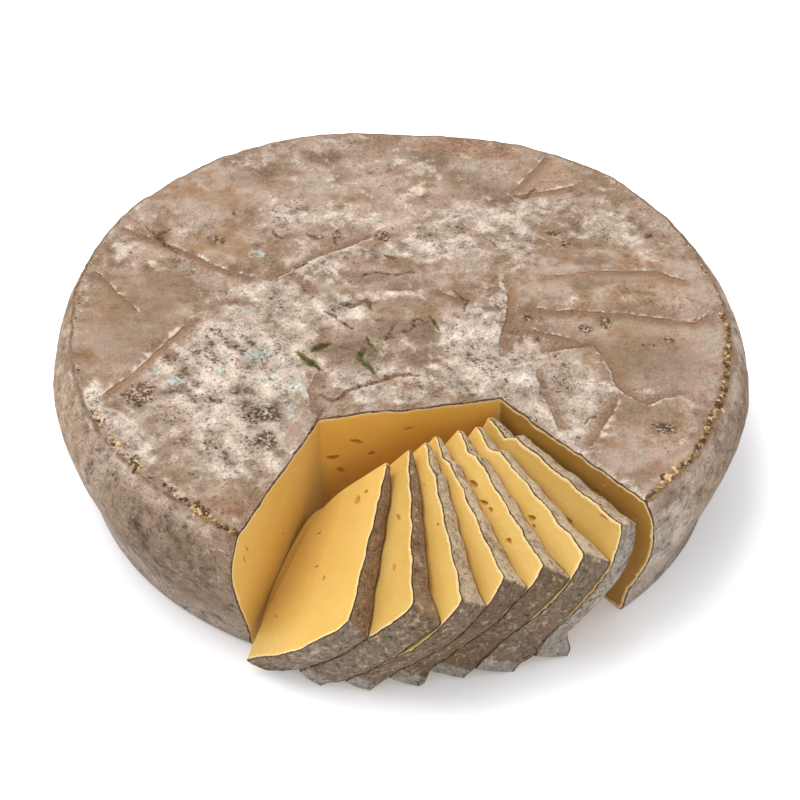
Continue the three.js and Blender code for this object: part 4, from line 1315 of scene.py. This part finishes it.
def crumb_tree(material, seed):
    """Nodes that set an uneven crumb on every point, each turned, sized and roughened its own way."""
    tree = bpy.data.node_groups.new("Crumbs on points", "GeometryNodeTree")
    tree.interface.new_socket("Geometry", in_out="INPUT", socket_type="NodeSocketGeometry")
    for name, value in (("Crumb size", 1.0 * MM), ("Roughness", 0.45 * MM)):
        socket = tree.interface.new_socket(name, in_out="INPUT", socket_type="NodeSocketFloat")
        socket.subtype = "DISTANCE"
        socket.default_value = value
    tree.interface.new_socket("Geometry", in_out="OUTPUT", socket_type="NodeSocketGeometry")
    start = add(tree, "NodeGroupInput")
    points = add(tree, "GeometryNodeMeshToPoints", {"Mesh": start.outputs["Geometry"]})
    crumb = add(tree, "GeometryNodeMeshUVSphere", {"Radius": start.outputs["Crumb size"], "Segments": 7, "Rings": 5})
    turn, stretch = (
        add(tree, "FunctionNodeRandomValue", {0: low, 1: high, "Seed": seed + i}, data_type="FLOAT_VECTOR").outputs[0]
        for i, (low, high) in enumerate((((0, 0, 0), (6.28, 6.28, 6.28)), ((0.7, 0.6, 0.35), (1.4, 1.0, 0.75))))
    )
    size = add(tree, "GeometryNodeInputNamedAttribute", {"Name": "size"}, data_type="FLOAT").outputs[0]
    scale = add(tree, "ShaderNodeVectorMath", {0: stretch, 3: size}, operation="SCALE").outputs[0]
    made = add(tree, "GeometryNodeInstanceOnPoints", {
        "Points": points.outputs[0], "Instance": crumb.outputs[0], "Rotation": turn, "Scale": scale,
    })
    tint = add(tree, "FunctionNodeRandomValue", {2: 0.0, 3: 1.0, "Seed": seed + 2}, data_type="FLOAT").outputs[1]
    made = add(tree, "GeometryNodeStoreNamedAttribute", {"Geometry": made.outputs[0], "Name": "tint", "Value": tint},
               data_type="FLOAT", domain="INSTANCE")
    made = add(tree, "GeometryNodeRealizeInstances", {0: made.outputs[0]})
    noise = add(tree, "ShaderNodeTexNoise", {"Scale": 1000 / 1.3, "Detail": 2}).outputs[1]
    offset = add(tree, "ShaderNodeVectorMath", {0: noise, 1: (0.5, 0.5, 0.5)}, operation="SUBTRACT").outputs[0]
    for times in (start.outputs["Roughness"], 4.0):
        offset = add(tree, "ShaderNodeVectorMath", {0: offset, 3: times}, operation="SCALE").outputs[0]
    made = add(tree, "GeometryNodeSetPosition", {"Geometry": made.outputs[0], "Offset": offset})
    made = add(tree, "GeometryNodeSetMaterial", {"Geometry": made.outputs[0], "Material": material})
    add(tree, "NodeGroupOutput", {0: made.outputs[0]})
    return tree


def rim_crumbs(size, material, seed):
    """The crumbs along the rim as a plain mesh, made through the node tree."""
    places, sizes = rim_points()
    mesh = bpy.data.meshes.new("rim_points")
    mesh.vertices.add(len(places))
    mesh.vertices.foreach_set("co", (places * MM).ravel())
    mesh.attributes.new("size", "FLOAT", "POINT").data.foreach_set("value", sizes)
    source = place_object("rim_points", mesh)
    modifier = source.modifiers.new("Crumbs", "NODES")
    tree = modifier.node_group = crumb_tree(material, seed)
    sockets = {item.name: item.identifier for item in tree.interface.items_tree if item.in_out == "INPUT"}
    modifier[sockets["Crumb size"]] = size
    graph = bpy.context.evaluated_depsgraph_get()
    result = bpy.data.meshes.new_from_object(
        source.evaluated_get(graph), preserve_all_data_layers=True, depsgraph=graph)
    source.modifiers.clear()
    bpy.data.objects.remove(source)
    result.name = "rim_crumbs"
    return place_object("rim_crumbs", result)


def dress(piece, slot, *nodes):
    """Puts a finished piece on the one body, in place of the frame's nodes."""
    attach(piece, "root")
    if nodes:
        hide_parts(*nodes)


# ---- Settings ----


def number_setting(name, description, value, low=0, **more):
    """A number in the panel, with its lowest value."""
    return FloatProperty(name=name, description=description, default=value, min=low, **more)


def colour_setting(name, description, text):
    """A colour in the panel, given as sRGB hex."""
    return FloatVectorProperty(
        name=name, description=description, default=linear(text)[:3], size=3, subtype="COLOR", min=0, max=1)


class CheeseForm(bpy.types.PropertyGroup):
    crease: number_setting("Crease strength", "Depth of the folds in the top, as a share", 1.0, max=2)
    lumps: number_setting("Lump strength", "Height of the rind's lumps, as a share", 1.0, max=2)
    eyes: number_setting("Eye size", "Size of the eyes in the paste, as a share", 1.0, 0.3, max=2)
    crumb: number_setting(
        "Crumb size", "Half width of a middling crumb", 0.95 * MM, unit="LENGTH", subtype="DISTANCE")
    seed: IntProperty(name="Seed", description="Which scatter of crumbs is made", default=7, min=0)


class CheeseColours(bpy.types.PropertyGroup):
    tan: colour_setting("Tan", "Smooth bare rind", "#9d836c")
    pink: colour_setting("Pink", "Rind with a pinkish cast", "#b29784")
    grey: colour_setting("Grey", "Rind with a greyish cast", "#a29384")
    mould: colour_setting("Mould", "Powdery mould", "#cfbeae")
    chalk: colour_setting("Chalk", "Thickest mould", "#ddd0c3")
    # Brown in the hollows: partly the bare rind's colour, partly painted shade.
    brown: colour_setting("Brown", "Hollows of the bare rind", "#87705b")
    paste: colour_setting("Paste", "Cut cheese", "#e0b967")
    paste_deep: colour_setting("Deep paste", "Riper parts of the cut cheese", "#d9af5a")
    cream: colour_setting("Cream", "Paste just under the rind", "#f1d69b")
    crumb: colour_setting("Crumb", "Golden crumbs", "#dcbc8a")


class CheeseStage(bpy.types.PropertyGroup):
    floor: colour_setting("Floor", "Plain floor", "#f6f7fb")
    key: number_setting("Key light", "Power of the overhead light", 11.8, unit="POWER")
    sides: number_setting("Side lights", "Power of both side lights together", 5.0, unit="POWER")
    sky: number_setting("Surround", "Strength of the white surround", 0.73)
    glow: number_setting("Floor glow", "Light that the floor gives by itself, as a light table", 0.36)


# ---- Operators ----


class CHEESE_OT_wheel(bpy.types.Operator):
    """Wheel with its natural rind and the gap's three cut walls"""

    bl_idname = "cheese.wheel"
    bl_label = "Wheel"

    def execute(self, context):
        scene = context.scene
        rind = natural_rind(scene.cheese_colours)
        piece = build_wheel(scene.cheese_form, rind, cheese_paste(scene.cheese_colours))
        dress(piece, "rind", "wheel")
        return {"FINISHED"}


class CHEESE_OT_slices(bpy.types.Operator):
    """Seven slices that lean on each other in the gap"""

    bl_idname = "cheese.slices"
    bl_label = "Slices"

    def execute(self, context):
        scene = context.scene
        rind, paste = cut_rind(), cheese_paste(scene.cheese_colours)
        for number in range(1, len(SLICES) + 1):
            piece = build_slice(number, scene.cheese_form, rind, paste)
            dress(piece, "paste", f"slice_{number}")
        return {"FINISHED"}


class CHEESE_OT_crumbs(bpy.types.Operator):
    """Crumbs of rind and paste along the rim"""

    bl_idname = "cheese.crumbs"
    bl_label = "Crumbs"

    def execute(self, context):
        scene = context.scene
        form = scene.cheese_form
        dress(rim_crumbs(form.crumb, dry_crumbs(scene.cheese_colours), form.seed), "rind")
        return {"FINISHED"}


class CHEESE_OT_stage(bpy.types.Operator):
    """Pale floor, soft studio light and the camera"""

    bl_idname = "cheese.stage"
    bl_label = "Stage"

    def execute(self, context):
        scene = context.scene
        settings = scene.cheese_stage
        mesh = bpy.data.meshes.new("floor")
        mesh.from_pydata([(-4, -4, 0), (4, -4, 0), (4, 4, 0), (-4, 4, 0)], [], [(0, 1, 2, 3)])
        mesh.materials.append(white_paper_with_painted_shadow(settings))
        place_object("floor", mesh)

        world = bpy.data.worlds.new("Studio")
        world.use_nodes = True
        surround = world.node_tree.nodes["Background"]
        surround.inputs[0].default_value = (1.0, 1.0, 1.0, 1.0)
        surround.inputs[1].default_value = settings.sky
        scene.world = world

        for name, place, power, wide, deep in (
            ("Overhead softbox", (-0.38, 0.15, 1.3), settings.key, 1.0, 0.8),
            ("Left softbox", (-1.25, 0.25, 0.75), settings.sides * 0.62, 1.0, 0.6),
            ("Right softbox", (1.25, 0.35, 0.75), settings.sides * 0.38, 1.0, 0.6),
        ):
            light = bpy.data.lights.new(name, "AREA")
            light.energy = power
            light.shape = "RECTANGLE"
            light.size, light.size_y = wide, deep
            lamp = place_object(name, light)
            lamp.location = place
            lamp.rotation_euler = (Vector((0, 0, 0.03)) - lamp.location).to_track_quat("-Z", "Y").to_euler()

        camera = bpy.data.cameras.new("Camera")
        camera.lens, camera.sensor_width = CAMERA["lens"], 36
        camera.shift_x, camera.shift_y = CAMERA["shift"]
        scene.camera = place_object("Camera", camera)
        up, away = CAMERA["elevation"] * RAD, CAMERA["distance"]
        scene.camera.location = (0, -away * math.cos(up), away * math.sin(up) + HEIGHT / 2 * MM)
        scene.camera.rotation_euler = (math.pi / 2 - up, 0, 0)
        scene.view_settings.view_transform = "Standard"
        return {"FINISHED"}


class CHEESE_PT_panel(bpy.types.Panel):
    bl_label = "Cut cheese wheel"
    bl_idname = "CHEESE_PT_panel"
    bl_space_type = "VIEW_3D"
    bl_region_type = "UI"
    bl_category = "Cheese"

    def draw(self, context):
        for group in (context.scene.cheese_form, context.scene.cheese_colours, context.scene.cheese_stage):
            box = self.layout.box()
            for name in group.bl_rna.properties.keys():
                if name not in ("rna_type", "name"):
                    box.prop(group, name)
        for operator in (CHEESE_OT_wheel, CHEESE_OT_slices, CHEESE_OT_crumbs, CHEESE_OT_stage):
            self.layout.operator(operator.bl_idname)


CLASSES = (
    CheeseForm, CheeseColours, CheeseStage, CHEESE_OT_wheel, CHEESE_OT_slices, CHEESE_OT_crumbs, CHEESE_OT_stage,
    CHEESE_PT_panel,
)


def register():
    for item in CLASSES:
        bpy.utils.register_class(item)
    bpy.types.Scene.cheese_form = PointerProperty(type=CheeseForm)
    bpy.types.Scene.cheese_colours = PointerProperty(type=CheeseColours)
    bpy.types.Scene.cheese_stage = PointerProperty(type=CheeseStage)


def unregister():
    del bpy.types.Scene.cheese_form, bpy.types.Scene.cheese_colours, bpy.types.Scene.cheese_stage
    for item in reversed(CLASSES):
        bpy.utils.unregister_class(item)


def main():
    register()
    bpy.ops.cheese.wheel()
    bpy.ops.cheese.slices()
    bpy.ops.cheese.crumbs()
    bpy.ops.cheese.stage()


if __name__ == "__main__":
    main()
